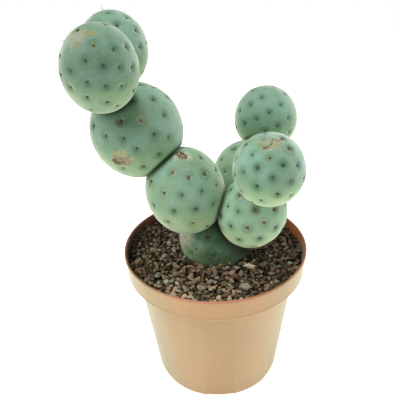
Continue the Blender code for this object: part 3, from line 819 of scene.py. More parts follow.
def spin_outline(bm, geometry, steps):
    """Turns wire geometry once round the Z axis."""
    bmesh.ops.spin(
        bm, geom=geometry, cent=(0, 0, 0), axis=(0, 0, 1), angle=2 * math.pi, steps=steps, use_merge=True
    )
    bmesh.ops.remove_doubles(bm, verts=bm.verts, dist=SAME_PLACE)


def add_outline(bm, corners, corner_steps=0):
    """Adds a wire through (radius, height, rounding) corners, rounds them, and returns its geometry."""
    verts = [bm.verts.new((radius, 0, height)) for radius, height, _ in corners]
    for pair in zip(verts, verts[1:]):
        bm.edges.new(pair)
    for vert, (_, _, rounding) in zip(verts, corners):
        if rounding:
            bmesh.ops.bevel(
                bm, geom=[vert], offset=rounding, affect="VERTICES", segments=corner_steps, profile=0.5,
                material=-1,
            )
    return [item for item in bm.verts[:] + bm.edges[:] if item.is_valid]


def cut_away(mesh, cutter):
    """The mesh with a closed bmesh cut out of it."""
    bmesh.ops.recalc_face_normals(cutter, faces=cutter.faces)
    tool = bpy.data.objects.new("Cutter", as_mesh("Cutter", cutter))
    body = bpy.data.objects.new("Body", mesh)
    for helper in (tool, body):
        bpy.context.scene.collection.objects.link(helper)
    modifier = body.modifiers.new("Cut", "BOOLEAN")
    modifier.operation = "DIFFERENCE"
    modifier.object = tool
    graph = bpy.context.evaluated_depsgraph_get()
    cut = bpy.data.meshes.new_from_object(body.evaluated_get(graph))
    for helper in (tool, body):
        bpy.data.objects.remove(helper)
    return cut


# Shader tools


class Wire:
    """A shader socket. Arithmetic on it adds Math nodes, and node() adds any other kind of node."""

    def __init__(self, tree, socket):
        self.tree = tree
        self.socket = socket

    def node(self, kind, settings, sockets, output=0):
        """Adds a node, sets it up, fills its sockets with values or Wires, and returns one output."""
        node = self.tree.nodes.new("ShaderNode" + kind)
        for name, value in settings.items():
            setattr(node, name, value)
        for name, value in sockets.items():
            if isinstance(value, Wire):
                self.tree.links.new(value.socket, node.inputs[name])
            else:
                node.inputs[name].default_value = value
        return Wire(self.tree, node.outputs[output])

    def maths(self, operation, first, second=0.0):
        return self.node("Math", {"operation": operation}, {0: first, 1: second})

    def __add__(self, other):
        return self.maths("ADD", self, other)

    def __radd__(self, other):
        return self.maths("ADD", other, self)

    def __sub__(self, other):
        return self.maths("SUBTRACT", self, other)

    def __mul__(self, other):
        return self.maths("MULTIPLY", self, other)

    def fade(self, start, end):
        """0 where the value is at start, 1 where it is at end, and smooth between."""
        sockets = {"Value": self, "From Min": start, "From Max": end}
        return self.node("MapRange", {"interpolation_type": "SMOOTHSTEP"}, sockets)

    def mix(self, first, second, blend="MIX"):
        """The second colour where the value is 1, and the first where it is 0."""
        first, second = (tone if isinstance(tone, Wire) else (*tone, 1) for tone in (first, second))
        settings = {"data_type": "RGBA", "blend_type": blend}
        return self.node("Mix", settings, {0: self, 6: first, 7: second}, output=2)

    def tint(self, first, second):
        """The first colour, multiplied by the second where the value is 1."""
        return self.mix(first, second, "MULTIPLY")

    def noise(self, scale, detail=2.0, roughness=0.5):
        """Noise at the points that the socket gives, with scale features to a metre."""
        sockets = {"Vector": self, "Scale": scale, "Detail": detail, "Roughness": roughness}
        return self.node("TexNoise", {}, sockets)

    def cells(self, scale, feature="F1"):
        """Distance to the middle, or the edge, of the cell that a point is in, with scale to a metre."""
        return self.node("TexVoronoi", {"feature": feature}, {"Vector": self, "Scale": scale})

    def streaks(self, scales, noise):
        """Noise with its own number of features to a metre along each axis."""
        return self.node("Mapping", {}, {"Vector": self, "Scale": scales}).noise(1, *noise)

    def bumped(self, height, distance, strength=1.0):
        """The surface's normal, raised by the value times distance."""
        return self.node("Bump", {}, {"Height": height, "Distance": distance, "Strength": strength})


def start_finish(name, constants):
    """A new material with these shader constants: (material, shader, its object coordinates)."""
    material = bpy.data.materials.new(name)
    material.use_nodes = True
    tree = material.node_tree
    shader = tree.nodes["Principled BSDF"]
    for socket, value in constants.items():
        shader.inputs[socket].default_value = value
    coordinates = tree.nodes.new("ShaderNodeTexCoord")
    return material, shader, Wire(tree, coordinates.outputs["Object"])


def attribute(place, name, output="Fac"):
    """A number, or with output Color a colour, that the mesh keeps for each point."""
    return place.node("Attribute", {"attribute_name": name}, {}, output=output)


def scaled(tone, times):
    """A colour made darker or lighter, up to white."""
    return [min(1, times * part) for part in tone]


def feed(shader, **wires):
    """Links wires to the shader's sockets, named with underscores."""
    for name, wire in wires.items():
        wire.tree.links.new(wire.socket, shader.inputs[name.replace("_", " ")])


# Finishes

# What a look multiplies the colour below it by
LOW_TINT = (1.0, 1.06, 1.14)
FOOT_TINT = (1.05, 0.97, 0.86)
# Painted light: the collar is made paler, as brightly lit as the body
COLLAR_LIGHT_TINT = (1.22, 1.13, 1.14)
# Painted reflection: the sides lose red, as glancing reflection of the white surroundings pales them
SIDE_GLARE_TINT = (0.82, 0.97, 1.0)
# Painted shade on the left inner wall
PAINTED_WALL_SHADE_TINT = (0.24, 0.18, 0.13)
SPECKLE_TINT = (1.75, 1.7, 1.6)
PORE_TINT = (0.25, 0.22, 0.18)
# Wax pales the skin: partly a paler bloom, partly painted light
WAX_AND_LIGHT_TINT = (2.05, 1.78, 1.8)
LOWEST_TINT = (0.85, 1.12, 0.95)
WORN_DARK_TINT = (0.4, 0.5, 0.4)
WORN_PALE_TINT = (1.5, 1.35, 1.35)
# Painted shade in crevices
CREVICE_SHADE_TINT = (0.13, 0.31, 0.15)
CORK_TINT = (0.55, 0.47, 0.38)
CORK_RING_TINT = (0.38, 0.3, 0.22)
CRACK_TINT = (0.16, 0.12, 0.06)
FELT_TINT = (1.7, 1.65, 1.5)
DUST = linear(150, 140, 118)
FIBRE_DARK = linear(92, 68, 44)
FIBRE_PALE = linear(158, 126, 88)

# Noise patterns of the skin, from the widest to the finest: features to a metre, detail and roughness
Patterns = namedtuple("Patterns", "drift patches mottle crust fine")
SKIN_NOISES = ((38, 3, 0.55), (85, 3, 0.6), (210, 3, 0.6), (750, 3, 0.65), (1700, 3, 0.6))

# The other noise patterns: features to a metre, then detail and roughness where they aren't the usual ones
CLOUDS = (28, 3)
STAINS = (160, 4, 0.6)
PLASTIC_GRAIN = (2600,)
SPECKLES = (1500, 4, 0.65)
BED_PATCHES = (300, 3)
DUST_PATCHES = (900,)
SCAR_OUTLINES = (330,)
FELT = (5200, 2, 0.7)
BRISTLE_PATCHES = (900,)
SPINE_PATCHES = (1200,)

# Patterns drawn longer one way: features to a metre along X, Y and Z, then the noise's detail and roughness
FLOW_MARKS = ((260, 260, 14), (2,))
SCRATCHES = ((160, 160, 900), (1, 0.4))
BARK_FIBRES = ((900, 900, 120), (4, 0.6))

# Cells to a metre of a grit stone's pores and of the cracks in cork
PORES = 1400
CRACKS = 950

# Where on its pattern each look of the plastic begins and is full, how much of it shows, and how dark or
# pale it makes the plastic
CLOUD_EDGE, CLOUD_TONE = (0.3, 0.7), 0.94
FLOW_EDGE, FLOW_SHARE = (0.45, 0.8), 0.15
SCRATCH_EDGE, SCRATCH_SHARE = (0.66, 0.7), 0.3
PALE_TONE = 1.2
COLLAR_FLOW_EDGE, COLLAR_FLOW_SHARE = (0.35, 0.6), 0.7
STAIN_EDGE, STAIN_SHARE, STAIN_TONE = (0.45, 0.75), 0.5, 0.55
FRONT_LIP_GLOW_SHARE = 0.8

# The same of grit, bark, wool, bristles and spines
# The bed's darker tone is painted shade deep between the stones
BED_SHADE_TONE = 0.35
SPECKLE_EDGE, SPECKLE_SHARE = (0.35, 0.65), 0.9
PORE_EDGE, PORE_SHARE = (0.32, 0.1), 0.65
DUST_EDGE, DUST_SHARE = (0.58, 0.72), 0.25
FIBRE_EDGE = (0.35, 0.7)
FELT_EDGE, FELT_SHARE = (0.4, 0.7), 0.7
BRISTLE_EDGE, BRISTLE_TONE = (0.35, 0.65), 0.6
SPINE_EDGE, SPINE_UNEVEN = (0.05, 0.75), 0.3

# The same of the skin's green. Uneven is how far a pattern shifts a look's edge.
BLOOM_EDGE, BLOOM_UNEVEN = (-0.35, 0.55), 0.9
UNDERSIDE_EDGE, UNDERSIDE_UNEVEN = (0.1, -0.75), 0.5
BLUE_EDGE, BLUE_SHARE, BLUE_UPWARD = (0.52, 0.7), 0.75, 0.15
LEAF_EDGE, LEAF_SHARE = (0.47, 0.32), 0.5
LOWEST_SHARE = 0.5
WORN_MOTTLE, WORN_PATCHES = 0.6, 0.4
WORN_DARK_EDGE, WORN_PALE_EDGE, WORN_SHARE = (0.5, 0.38), (0.5, 0.62), 0.6

# Fine layers on the green, in order: the pattern, where on it the layer begins and is full, how much of it
# shows, its colour, and how dark or pale that is
FINE_LAYERS = (
    ("mottle", (0.35, 0.75), 0.22, "bloom", 1.12),
    ("mottle", (0.55, 0.2), 0.25, "leaf", 0.72),
    ("fine", (0.58, 0.7), 0.32, "specks", 1.0),
    ("fine", (0.4, 0.3), 0.45, "halo", 1.0),
)

# Round an areole, in millimetres from its middle: the dark halo and pit, partly darker skin and partly
# painted shade, and a corky ring's two bands, each with the edges of its outer and inner side
HALO_UNEVEN, HALO_SHARE, HALO_VARIES = 1.4, 0.25, 0.45
PIT_EDGE = (1.8, 0.3)
RING_UNEVEN, RING_GAPS = 1.6, (0.42, 0.58)
PALE_BAND, PALE_BAND_SHARE = ((2.2, 1.7), (1.0, 1.5)), 0.55
DARK_BAND, DARK_BAND_SHARE = ((1.5, 1.1), (0.5, 0.9)), 0.45

# Cork scars: deep ones have a sharp edge, a dark ring inside a pale one, and cracks. Edges are in shares of
# a scar's radius, after those of its cover.
DEEP_COVER, CRACKED_COVER = (0.6, 0.9), (0.7, 1.0)
SCAR_UNEVEN, SCAR_CRUST_UNEVEN = 1.5, 1.1
SOFT_EDGE, SHARP_EDGE = (1.5, 0.5), (1.15, 0.8)
CORK_EDGE, CORK_SHARE = (0.38, 0.62), 0.5
CORK_RING, CORK_RING_SHARE = ((0.4, 0.65), (0.95, 0.75)), 0.5
CORK_RIM_EDGE, CORK_RIM_SHARE = (0.8, 0.95), 0.6
CRACK_EDGE = (0.2, 0.1)

# Painted shadow of the lowest segment, chalky wear with painted sheen, creases and the painted shade of
# crevices: the share that always shows, and what a pattern adds to it
PAINTED_SHADE_SHARES = (0.8, 0.4)
CHALK_SHARES, CHALK_EDGE = (0.5, 0.5), (0.62, 0.4)
FOLD_SHARES, FOLD_EDGE, CREASED_EDGE = (0.45, 0.45), (0.4, 0.6), (0.4, 0.85)
CREVICE_TINT_SHARE, CREVICE_EDGE = 0.9, (0.15, 1.0)

# How the painted shade in crevices looks: how much of it the dull, dark skin without sheen takes, and how
# rough that is
CREVICE_SHARE = 0.55
CREVICE_ROUGHNESS = 0.85


def plastic_finish(settings):
    """Satin terracotta plastic: flow marks, scratches and a stained inner wall, with painted light and
    shade:
    a painted reflection paling its sides, a lighter collar with a painted highlight at its foot, a painted
    glow and shade on the lip, and an inner wall painted darker and redder, darkest on the left.
    """
    material, shader, place = start_finish("terracotta plastic", POT_GLOSS)
    inside = attribute(place, "inside")
    cloud = place.noise(*CLOUDS)
    flow = place.streaks(*FLOW_MARKS)
    scratch = place.streaks(*SCRATCHES).fade(*SCRATCH_EDGE)
    stain = place.noise(*STAINS).fade(*STAIN_EDGE)
    grain = place.noise(*PLASTIC_GRAIN)
    pale = scaled(settings.plastic, PALE_TONE)
    outer = cloud.fade(*CLOUD_EDGE).mix(settings.plastic, scaled(settings.plastic, CLOUD_TONE))
    outer = (flow.fade(*FLOW_EDGE) * FLOW_SHARE + scratch * SCRATCH_SHARE).mix(outer, pale)
    outer = attribute(place, "low").tint(outer, LOW_TINT)
    outer = attribute(place, "foot").tint(outer, FOOT_TINT)
    # Painted light: the collar above the shoulder is made paler
    outer = attribute(place, "collar").tint(outer, COLLAR_LIGHT_TINT)
    # Painted highlight: pale flow marks crowd into a thin band at the collar's foot, where its lower edge
    # catches the light
    collar_highlight = attribute(place, "collar_foot") * flow.fade(*COLLAR_FLOW_EDGE)
    outer = (collar_highlight * COLLAR_FLOW_SHARE).mix(outer, pale)
    # Painted reflection: the left and right sides, the collar's more, are tinted paler and less red
    outer = attribute(place, "bleached").tint(outer, SIDE_GLARE_TINT)
    # Painted shade and bounce light: the inner wall is darker and redder, with random stains
    inner = (stain * STAIN_SHARE).mix(settings.inside, scaled(settings.inside, STAIN_TONE))
    # Painted shade: the inner wall darkens towards the left, which the light from the left doesn't reach
    inner = attribute(place, "soiled").tint(inner, PAINTED_WALL_SHADE_TINT)
    walls = inside.mix(outer, inner)
    # Painted glow of light through the thin lip at the front
    walls = (attribute(place, "front_lip") * FRONT_LIP_GLOW_SHARE).mix(walls, settings.front_lip)
    feed(
        shader,
        # Painted shade: the lip is browner along its back and sides
        Base_Color=attribute(place, "lip").mix(walls, settings.lip),
        Roughness=settings.gloss + cloud * 0.12 + inside * 0.15 - scratch * 0.05,
        Normal=place.bumped(grain * 0.6 + flow * 0.25, 0.05 * MM, 0.5),
    )
    return material


def grit_finish(name, has_tint, settings):
    """Porous lava and pumice: speckled, pitted and quite matt. Stones carry their own tint."""
    material, shader, place = start_finish(name, {"Metallic": 0.0, "Specular IOR Level": 0.3})
    speckle = place.noise(*SPECKLES)
    pores = place.cells(PORES)
    if has_tint:
        tint = attribute(place, "tint", "Color")
    else:
        # Painted shade: the bed is dark, standing for the shaded grit between the stones
        tint = place.noise(*BED_PATCHES).mix(scaled(settings.dark, BED_SHADE_TONE), settings.dark)
    shade = (speckle.fade(*SPECKLE_EDGE) * SPECKLE_SHARE).tint(tint, SPECKLE_TINT)
    shade = (pores.fade(*PORE_EDGE) * PORE_SHARE).tint(shade, PORE_TINT)
    dusty = place.noise(*DUST_PATCHES).fade(*DUST_EDGE)
    feed(
        shader,
        Base_Color=(dusty * DUST_SHARE).mix(shade, DUST),
        Roughness=0.82 + speckle * 0.15,
        Normal=place.bumped(speckle + pores * 0.8, 0.35 * MM, 0.8),
    )
    return material


def bark_finish():
    """Brown, fibrous root bark."""
    material, shader, place = start_finish("root bark", {"Metallic": 0.0, "Roughness": 0.9})
    fibre = place.streaks(*BARK_FIBRES)
    brown = fibre.fade(*FIBRE_EDGE).mix(FIBRE_DARK, FIBRE_PALE)
    feed(shader, Base_Color=brown, Normal=place.bumped(fibre, 0.3 * MM))
    return material


def green_of(place, patterns, settings):
    """The living skin: bluish bloom, a yellower underside, paler patches, mottling and fine specks, with
    each segment's age and wax, which are partly painted light and shade.
    """
    upward = attribute(place, "upward")
    lowest = attribute(place, "lowest")
    uneven = patterns.drift - 0.5
    skin = (upward + uneven * BLOOM_UNEVEN).fade(*BLOOM_EDGE).mix(settings.leaf, settings.bloom)
    below = (upward + uneven * UNDERSIDE_UNEVEN).fade(*UNDERSIDE_EDGE)
    skin = below.mix(skin, settings.underside)
    bluest = (patterns.patches + upward * BLUE_UPWARD).fade(*BLUE_EDGE)
    skin = (bluest * BLUE_SHARE).mix(skin, settings.blue)
    skin = (patterns.patches.fade(*LEAF_EDGE) * LEAF_SHARE).mix(skin, settings.leaf)
    skin = attribute(place, "age").mix(skin, settings.old)
    # Wax: partly a paler bloom and partly painted light, strongest on the lowest segment's left side
    skin = attribute(place, "wax").tint(skin, WAX_AND_LIGHT_TINT)
    skin = (lowest * LOWEST_SHARE).tint(skin, LOWEST_TINT)
    worn = lowest * (patterns.mottle * WORN_MOTTLE + patterns.patches * WORN_PATCHES)
    skin = (worn.fade(*WORN_DARK_EDGE) * lowest * WORN_SHARE).tint(skin, WORN_DARK_TINT)
    skin = (worn.fade(*WORN_PALE_EDGE) * WORN_SHARE).tint(skin, WORN_PALE_TINT)
    for pattern, edge, share_shown, kind, tone in FINE_LAYERS:
        shown = getattr(patterns, pattern).fade(*edge) * share_shown
        skin = shown.mix(skin, scaled(getattr(settings, kind), tone))
    return skin


def band(ragged, edges):
    """1 between two edges of a ragged distance, 0 outside them."""
    outer, inner = edges
    return ragged.fade(*outer) * ragged.fade(*inner)


def with_areoles(skin, place, patterns, settings):
    """The skin with a dark halo round each areole, partly darker skin and partly painted shade of its pit,
    and a corky ring round some.
    """
    from_areole = attribute(place, "from_areole")
    ringed = attribute(place, "areole_ring")
    darkness = HALO_SHARE + attribute(place, "areole_tone") * HALO_VARIES
    ragged = from_areole + (patterns.mottle - 0.5) * HALO_UNEVEN
    skin = (ragged.fade(settings.halo_radius / MM, 0.0) * darkness).mix(skin, settings.halo)
    skin = (ragged.fade(*PIT_EDGE) * darkness).mix(skin, settings.pit)
    ragged = from_areole + (patterns.crust - 0.5) * RING_UNEVEN
    pale_band = ringed * band(ragged, PALE_BAND) * patterns.crust.fade(*RING_GAPS)
    skin = (pale_band * PALE_BAND_SHARE).mix(skin, settings.ring)
    return (ringed * band(ragged, DARK_BAND) * DARK_BAND_SHARE).mix(skin, settings.ring_edge)


def cork_of(place, patterns, settings):
    """(how much of the skin scars hide, the colour of their cork, the distance to its cracks)."""
    crust = patterns.crust
    cover = attribute(place, "scar_cover")
    deep = cover.fade(*DEEP_COVER)
    uneven = (place.noise(*SCAR_OUTLINES) - 0.5) * SCAR_UNEVEN + (crust - 0.5) * SCAR_CRUST_UNEVEN
    ragged = attribute(place, "scar_share") + uneven
    soft_edge = ragged.fade(*SOFT_EDGE)
    scarred = (soft_edge + (ragged.fade(*SHARP_EDGE) - soft_edge) * deep) * cover
    cracks = place.cells(CRACKS, "DISTANCE_TO_EDGE")
    cork = attribute(place, "scar_tint", "Color")
    cork = (crust.fade(*CORK_EDGE) * cover * CORK_SHARE).tint(cork, CORK_TINT)
    cork = (band(ragged, CORK_RING) * deep * CORK_RING_SHARE).tint(cork, CORK_RING_TINT)
    cork = (ragged.fade(*CORK_RIM_EDGE) * deep * CORK_RIM_SHARE).mix(cork, settings.ring)
    cork = (cracks.fade(*CRACK_EDGE) * cover.fade(*CRACKED_COVER)).tint(cork, CRACK_TINT)
    return scarred, cork, cracks


def partly(shares, pattern):
    """How much of a look shows: a share everywhere, and another one where the pattern is full."""
    everywhere, added = shares
    return everywhere + pattern * added


def skin_finish(name, sheen, settings):
    """Waxy skin, with the halos of its areoles, a painted shadow on the lowest segment, cork scars, chalky
    wear with painted sheen, creases, and painted shade in crevices.
    """
    constants = {
        "Metallic": 0.0, "IOR": 1.45, "Sheen Weight": sheen, "Sheen Roughness": 0.4,
        "Sheen Tint": (*settings.rim, 1),
        "Subsurface Weight": 0.12, "Subsurface Scale": 1.5 * MM, "Subsurface Radius": (0.7, 1.0, 0.5),
    }
    material, shader, place = start_finish(name, constants)
    patterns = Patterns(*(place.noise(*noise) for noise in SKIN_NOISES))
    crevice = attribute(place, "crevice")
    skin = with_areoles(green_of(place, patterns, settings), place, patterns, settings)
    # Painted shadow: the lowest segment's right side turns dark, in patches
    soiled = attribute(place, "soiled") * partly(PAINTED_SHADE_SHARES, patterns.patches)
    skin = soiled.mix(skin, settings.soiled)
    # Painted shade: the skin darkens in crevices
    skin = (crevice * CREVICE_TINT_SHARE).tint(skin, CREVICE_SHADE_TINT)
    # Chalky wear, partly painted sheen, at the lowest segment's left outline
    chalky = attribute(place, "weathered") * partly(CHALK_SHARES, patterns.crust.fade(*CHALK_EDGE))
    skin = chalky.mix(skin, settings.chalk_sheen)
    scarred, cork, cracks = cork_of(place, patterns, settings)
    folded = partly(FOLD_SHARES, patterns.crust.fade(*FOLD_EDGE))
    folded = attribute(place, "creased").fade(*CREASED_EDGE) * folded
    relief = patterns.fine * 0.25 + patterns.mottle * 0.5 + scarred * (patterns.fine + cracks * 2.0)
    feed(
        shader,
        Base_Color=folded.mix(scarred.mix(skin, cork), settings.crease),
        Roughness=settings.roughness + scarred * 0.25 + (patterns.mottle - 0.5) * 0.12,
        Normal=place.bumped(relief, 0.12 * MM, 0.6),
    )
    # Painted shade: in crevices the skin turns partly to a dull, dark green without sheen
    dull_look = {"Base Color": (*settings.crevice, 1), "Roughness": CREVICE_ROUGHNESS}
    dull = place.node("BsdfPrincipled", {}, dull_look)
    waxy = Wire(place.tree, shader.outputs["BSDF"])
    dulled = crevice.fade(*CREVICE_EDGE) * CREVICE_SHARE
    blend = place.node("MixShader", {}, {0: dulled, 1: waxy, 2: dull})
    place.tree.links.new(blend.socket, place.tree.nodes["Material Output"].inputs["Surface"])
    return material


def wool_finish():
    """Felted wool of an areole, with paler fibres. Each tuft carries its own tint."""
    material, shader, place = start_finish("areole wool", {"Metallic": 0.0, "Roughness": 0.95})
    fibre = place.noise(*FELT)
    felt = (fibre.fade(*FELT_EDGE) * FELT_SHARE).tint(attribute(place, "tint", "Color"), FELT_TINT)
    feed(shader, Base_Color=felt, Normal=place.bumped(fibre, 0.12 * MM))
    return material


def bristle_finish(settings):
    """Dull green-brown bristles, some darker."""
    material, shader, place = start_finish("bristles", {"Metallic": 0.0, "Roughness": 0.5})
    shade = place.noise(*BRISTLE_PATCHES).fade(*BRISTLE_EDGE)
    feed(shader, Base_Color=shade.mix(scaled(settings.bristle, BRISTLE_TONE), settings.bristle))
    return material


def spine_finish(settings):
    """Horny spines, dark at the foot and paler at the tip."""
    material, shader, place = start_finish("spines", {"Metallic": 0.0, "Roughness": 0.45})
    along = attribute(place, "along") + (place.noise(*SPINE_PATCHES) - 0.5) * SPINE_UNEVEN
    feed(shader, Base_Color=along.fade(*SPINE_EDGE).mix(settings.root, settings.tip))
    return material


def floor_finish(settings):
    """A pale, overexposed floor."""
    constants = {
        "Base Color": (0.93, 0.93, 0.92, 1), "Roughness": 0.9, "Specular IOR Level": 0.0,
        "Emission Color": (1, 1, 1, 1), "Emission Strength": settings.floor_glow,
    }
    return start_finish("pale floor", constants)[0]


# Pot


def pot_outline():
    """(radius, height, rounding) of the pot's corners, under the foot, round the lip and down inside."""
    tinted_height = FRONT_LIP_EDGE[0]
    tinted_radius = np.interp(tinted_height, (BEAD_TOP, POT_HEIGHT), (COLLAR_RADIUS, RIM_RADIUS))
    return [
        (0, 0, 0),
        (BASE_RADIUS, 0, 0.35 * MM),
        (SHOULDER_RADIUS, SHOULDER_HEIGHT, 0.7 * MM),
        (COLLAR_FOOT_RADIUS + BEAD, SHOULDER_HEIGHT, 0.5 * MM),
        (COLLAR_RADIUS, BEAD_TOP, 0.5 * MM),
        (tinted_radius, tinted_height, 0),
        (RIM_RADIUS, POT_HEIGHT, 0.6 * MM),
        (RIM_RADIUS - LIP, POT_HEIGHT, 0.5 * MM),
        (COLLAR_FOOT_RADIUS - WALL, SHOULDER_HEIGHT + WALL, 0.6 * MM),
        (SHOULDER_RADIUS - WALL, INNER_SHOULDER_HEIGHT, 0.5 * MM),
        (BASE_RADIUS - WALL, FLOOR, 1.2 * MM),
        (0, FLOOR, 0),
    ]


def channel_turns():
    """One turn round Z for each channel, the first to the front."""
    angles = [2 * math.pi * channel / CHANNELS - math.pi / 2 for channel in range(CHANNELS)]
    return [Matrix.Rotation(angle, 4, "Z") for angle in angles]


def channel_cutter():
    """Slots under the foot that let water out."""
    cutter = bmesh.new()
    length = CHANNEL_END - CHANNEL_START
    box = Matrix.Translation((CHANNEL_START + length / 2, 0, 0))
    box = box @ Matrix.Diagonal((length, CHANNEL_WIDTH, 2 * CHANNEL_DEPTH, 1))
    for turn in channel_turns():
        bmesh.ops.create_cube(cutter, size=1, matrix=turn @ box)
    return cutter


def drain_cutter():
    """A round hole through the floor over each slot."""
    cutter = bmesh.new()
    for turn in channel_turns():
        bmesh.ops.create_cone(
            cutter, cap_ends=True, segments=DRAIN_STEPS, radius1=DRAIN_RADIUS, radius2=DRAIN_RADIUS,
            depth=2 * FLOOR, matrix=turn @ Matrix.Translation((DRAIN_CIRCLE, 0, FLOOR / 2)),
        )
    return cutter


def wall_middle(height):
    """Radius of the middle of the pot's wall at each height."""
    heights = (0, SHOULDER_HEIGHT, SHOULDER_HEIGHT + WALL, POT_HEIGHT)
    radii = (BASE_RADIUS, SHOULDER_RADIUS, COLLAR_FOOT_RADIUS, RIM_RADIUS - LIP / 2 + WALL / 2)
    return np.interp(height, heights, radii) - WALL / 2


def build_pot(settings):
    """The pot, with what its finish has to know of each point."""
    bm = bmesh.new()
    spin_outline(bm, add_outline(bm, pot_outline(), settings.corner_steps), settings.steps)
    bmesh.ops.recalc_face_normals(bm, faces=bm.faces)
    mesh = cut_away(cut_away(as_mesh("pot", bm), channel_cutter()), drain_cutter())
    left_right, back_front, height = points_of(mesh).T
    out = np.maximum(np.hypot(left_right, back_front), MM)
    sideways = np.abs(left_right) / out
    frontward = -back_front / out
    above_shoulder = height - SHOULDER_HEIGHT
    # Painted reflection on the sides of the collar and of the body
    bleached = COLLAR_SIDE_GLARE * smoothstep(sideways, *COLLAR_SIDE_GLARE_EDGE)
    band_start, band_end = COLLAR_FOOT_BAND
    store(
        mesh,
        inside=(out < wall_middle(height)) & (height > INSIDE_FROM),
        # Painted shade on the left inner wall
        soiled=smoothstep(-left_right, *PAINTED_WALL_SHADE_EDGE),
        foot=smoothstep(height, *FOOT_EDGE),
        low=smoothstep(height, SHOULDER_HEIGHT, 0),
        # Painted light on the collar
        collar=smoothstep(above_shoulder, *COLLAR_EDGE),
        # Painted highlight along the collar's foot
        collar_foot=(above_shoulder > band_start) & (above_shoulder < band_end),
        bleached=np.where(above_shoulder > 0, bleached, smoothstep(sideways, *SIDE_GLARE_EDGE)),
        # Painted shade on the lip at the back and sides, and a painted glow at its front
        lip=smoothstep(height, *LIP_EDGE) * np.interp(frontward, *LIP_PAINTED_LIGHT_TO_FRONT),
        front_lip=smoothstep(height, *FRONT_LIP_EDGE) * smoothstep(frontward, *FRONT_EDGE),
    )
    finish = plastic_finish(settings)
    pot = add_piece("nursery_pot", mesh, [finish], sharp_angle=POT_SHARP_ANGLE)
    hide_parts("pot")


# Grit


def inside_radius(height):
    """The pot's inner radius at a height, less the gap that the grit keeps to it."""
    heights = (FLOOR, SHOULDER_HEIGHT, SHOULDER_HEIGHT + WALL, POT_HEIGHT)
    radii = (BASE_RADIUS, SHOULDER_RADIUS, COLLAR_FOOT_RADIUS, RIM_RADIUS - LIP + WALL)
    return np.interp(height, heights, radii) - WALL - FIT_GAP


def base_girth(height, extra=0.0):
    """Radius of the lowest segment at a height, grown by extra."""
    segment = BY_NAME[BASE]
    rise = np.clip((height - BASE_MIDDLE[2]) / (segment.half_length * MM + extra), -1, 1)
    return (segment.girth * MM + extra) * np.sqrt(1 - rise**2)


def build_bed(settings):
    """The grit below the loose stones: turned sides, a bowl under the lowest segment, and a rough top."""
    girth = BY_NAME[BASE].girth * MM + SEAT_GAP
    half_length = BY_NAME[BASE].half_length * MM + SEAT_GAP
    mouth = math.acos((BASE_MIDDLE[2] - BED_LEVEL) / half_length)
    bowl = []
    for row in range(BOWL_ROWS + 1):
        angle = mouth * (1 - row / BOWL_ROWS)
        bowl.append((girth * math.sin(angle), BASE_MIDDLE[2] - half_length * math.cos(angle), 0))
    low = FLOOR + FIT_GAP
    levels = (BED_LEVEL, SHOULDER_HEIGHT + WALL, SHOULDER_HEIGHT, low)
    sides = [(inside_radius(level), level, 0) for level in levels] + [(0, low, 0)]
    bm = bmesh.new()
    spin_outline(bm, add_outline(bm, bowl), BED_STEPS)
    bmesh.ops.translate(bm, verts=bm.verts, vec=(BASE_MIDDLE[0], BASE_MIDDLE[1], 0))
    side = bmesh.new()
    spin_outline(side, add_outline(side, sides), BED_STEPS)
    side_mesh = as_mesh("sides", side)
    bm.from_mesh(side_mesh)
    bpy.data.meshes.remove(side_mesh)
    rims = [edge for edge in bm.edges if edge.is_boundary]
    top = bmesh.ops.bridge_loops(bm, edges=rims)
    across = [edge for edge in top["edges"] if not edge.is_boundary and edge not in rims]
    bmesh.ops.subdivide_edges(bm, edges=across, cuts=BED_ROWS, use_grid_fill=True)
    bmesh.ops.recalc_face_normals(bm, faces=bm.faces)
    rng = random.Random(settings.seed)
    for vert in bm.verts:
        if abs(vert.co.z - BED_LEVEL) < SAME_PLACE and not vert.is_boundary:
            vert.co.z -= rng.uniform(0, BED_ROUGHNESS)
    finish = grit_finish("grit bed", False, settings)
    bed = add_piece("grit_bed", as_mesh("grit_bed", bm), [finish])
    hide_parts("grit")


def resting_heights(spots, radius, middles, sizes):
    """How high a stone comes to rest at each spot, on the bed or on the stones that lie there."""
    apart = np.linalg.norm(spots[:, None] - middles[:, :2], axis=2)
    reach = STONE_PACKING * (radius + sizes)
    touched = middles[:, 2] + np.sqrt(np.maximum(reach**2 - apart**2, 0))
    return np.where(apart < reach, touched, 0).max(axis=1, initial=BED_LEVEL + STONE_PACKING * radius)


def heaped(spots, out, outer):
    """How much higher than elsewhere stones may lie at each spot: in the mound, or in the bank."""
    from_base = np.linalg.norm(spots - BASE_MIDDLE[:2], axis=1)
    to_front = np.clip((spots - BASE_MIDDLE[:2]) @ DRIFT_WAY / from_base, 0, 1)
    mound = MOUND + DRIFT * to_front
    mound = mound * np.clip(1 - (from_base - base_girth(SOIL_LEVEL)) / MOUND_REACH, 0, 1)
    return np.maximum(mound, BANK * np.clip(1 - (outer - out) / BANK_REACH, 0, 1))


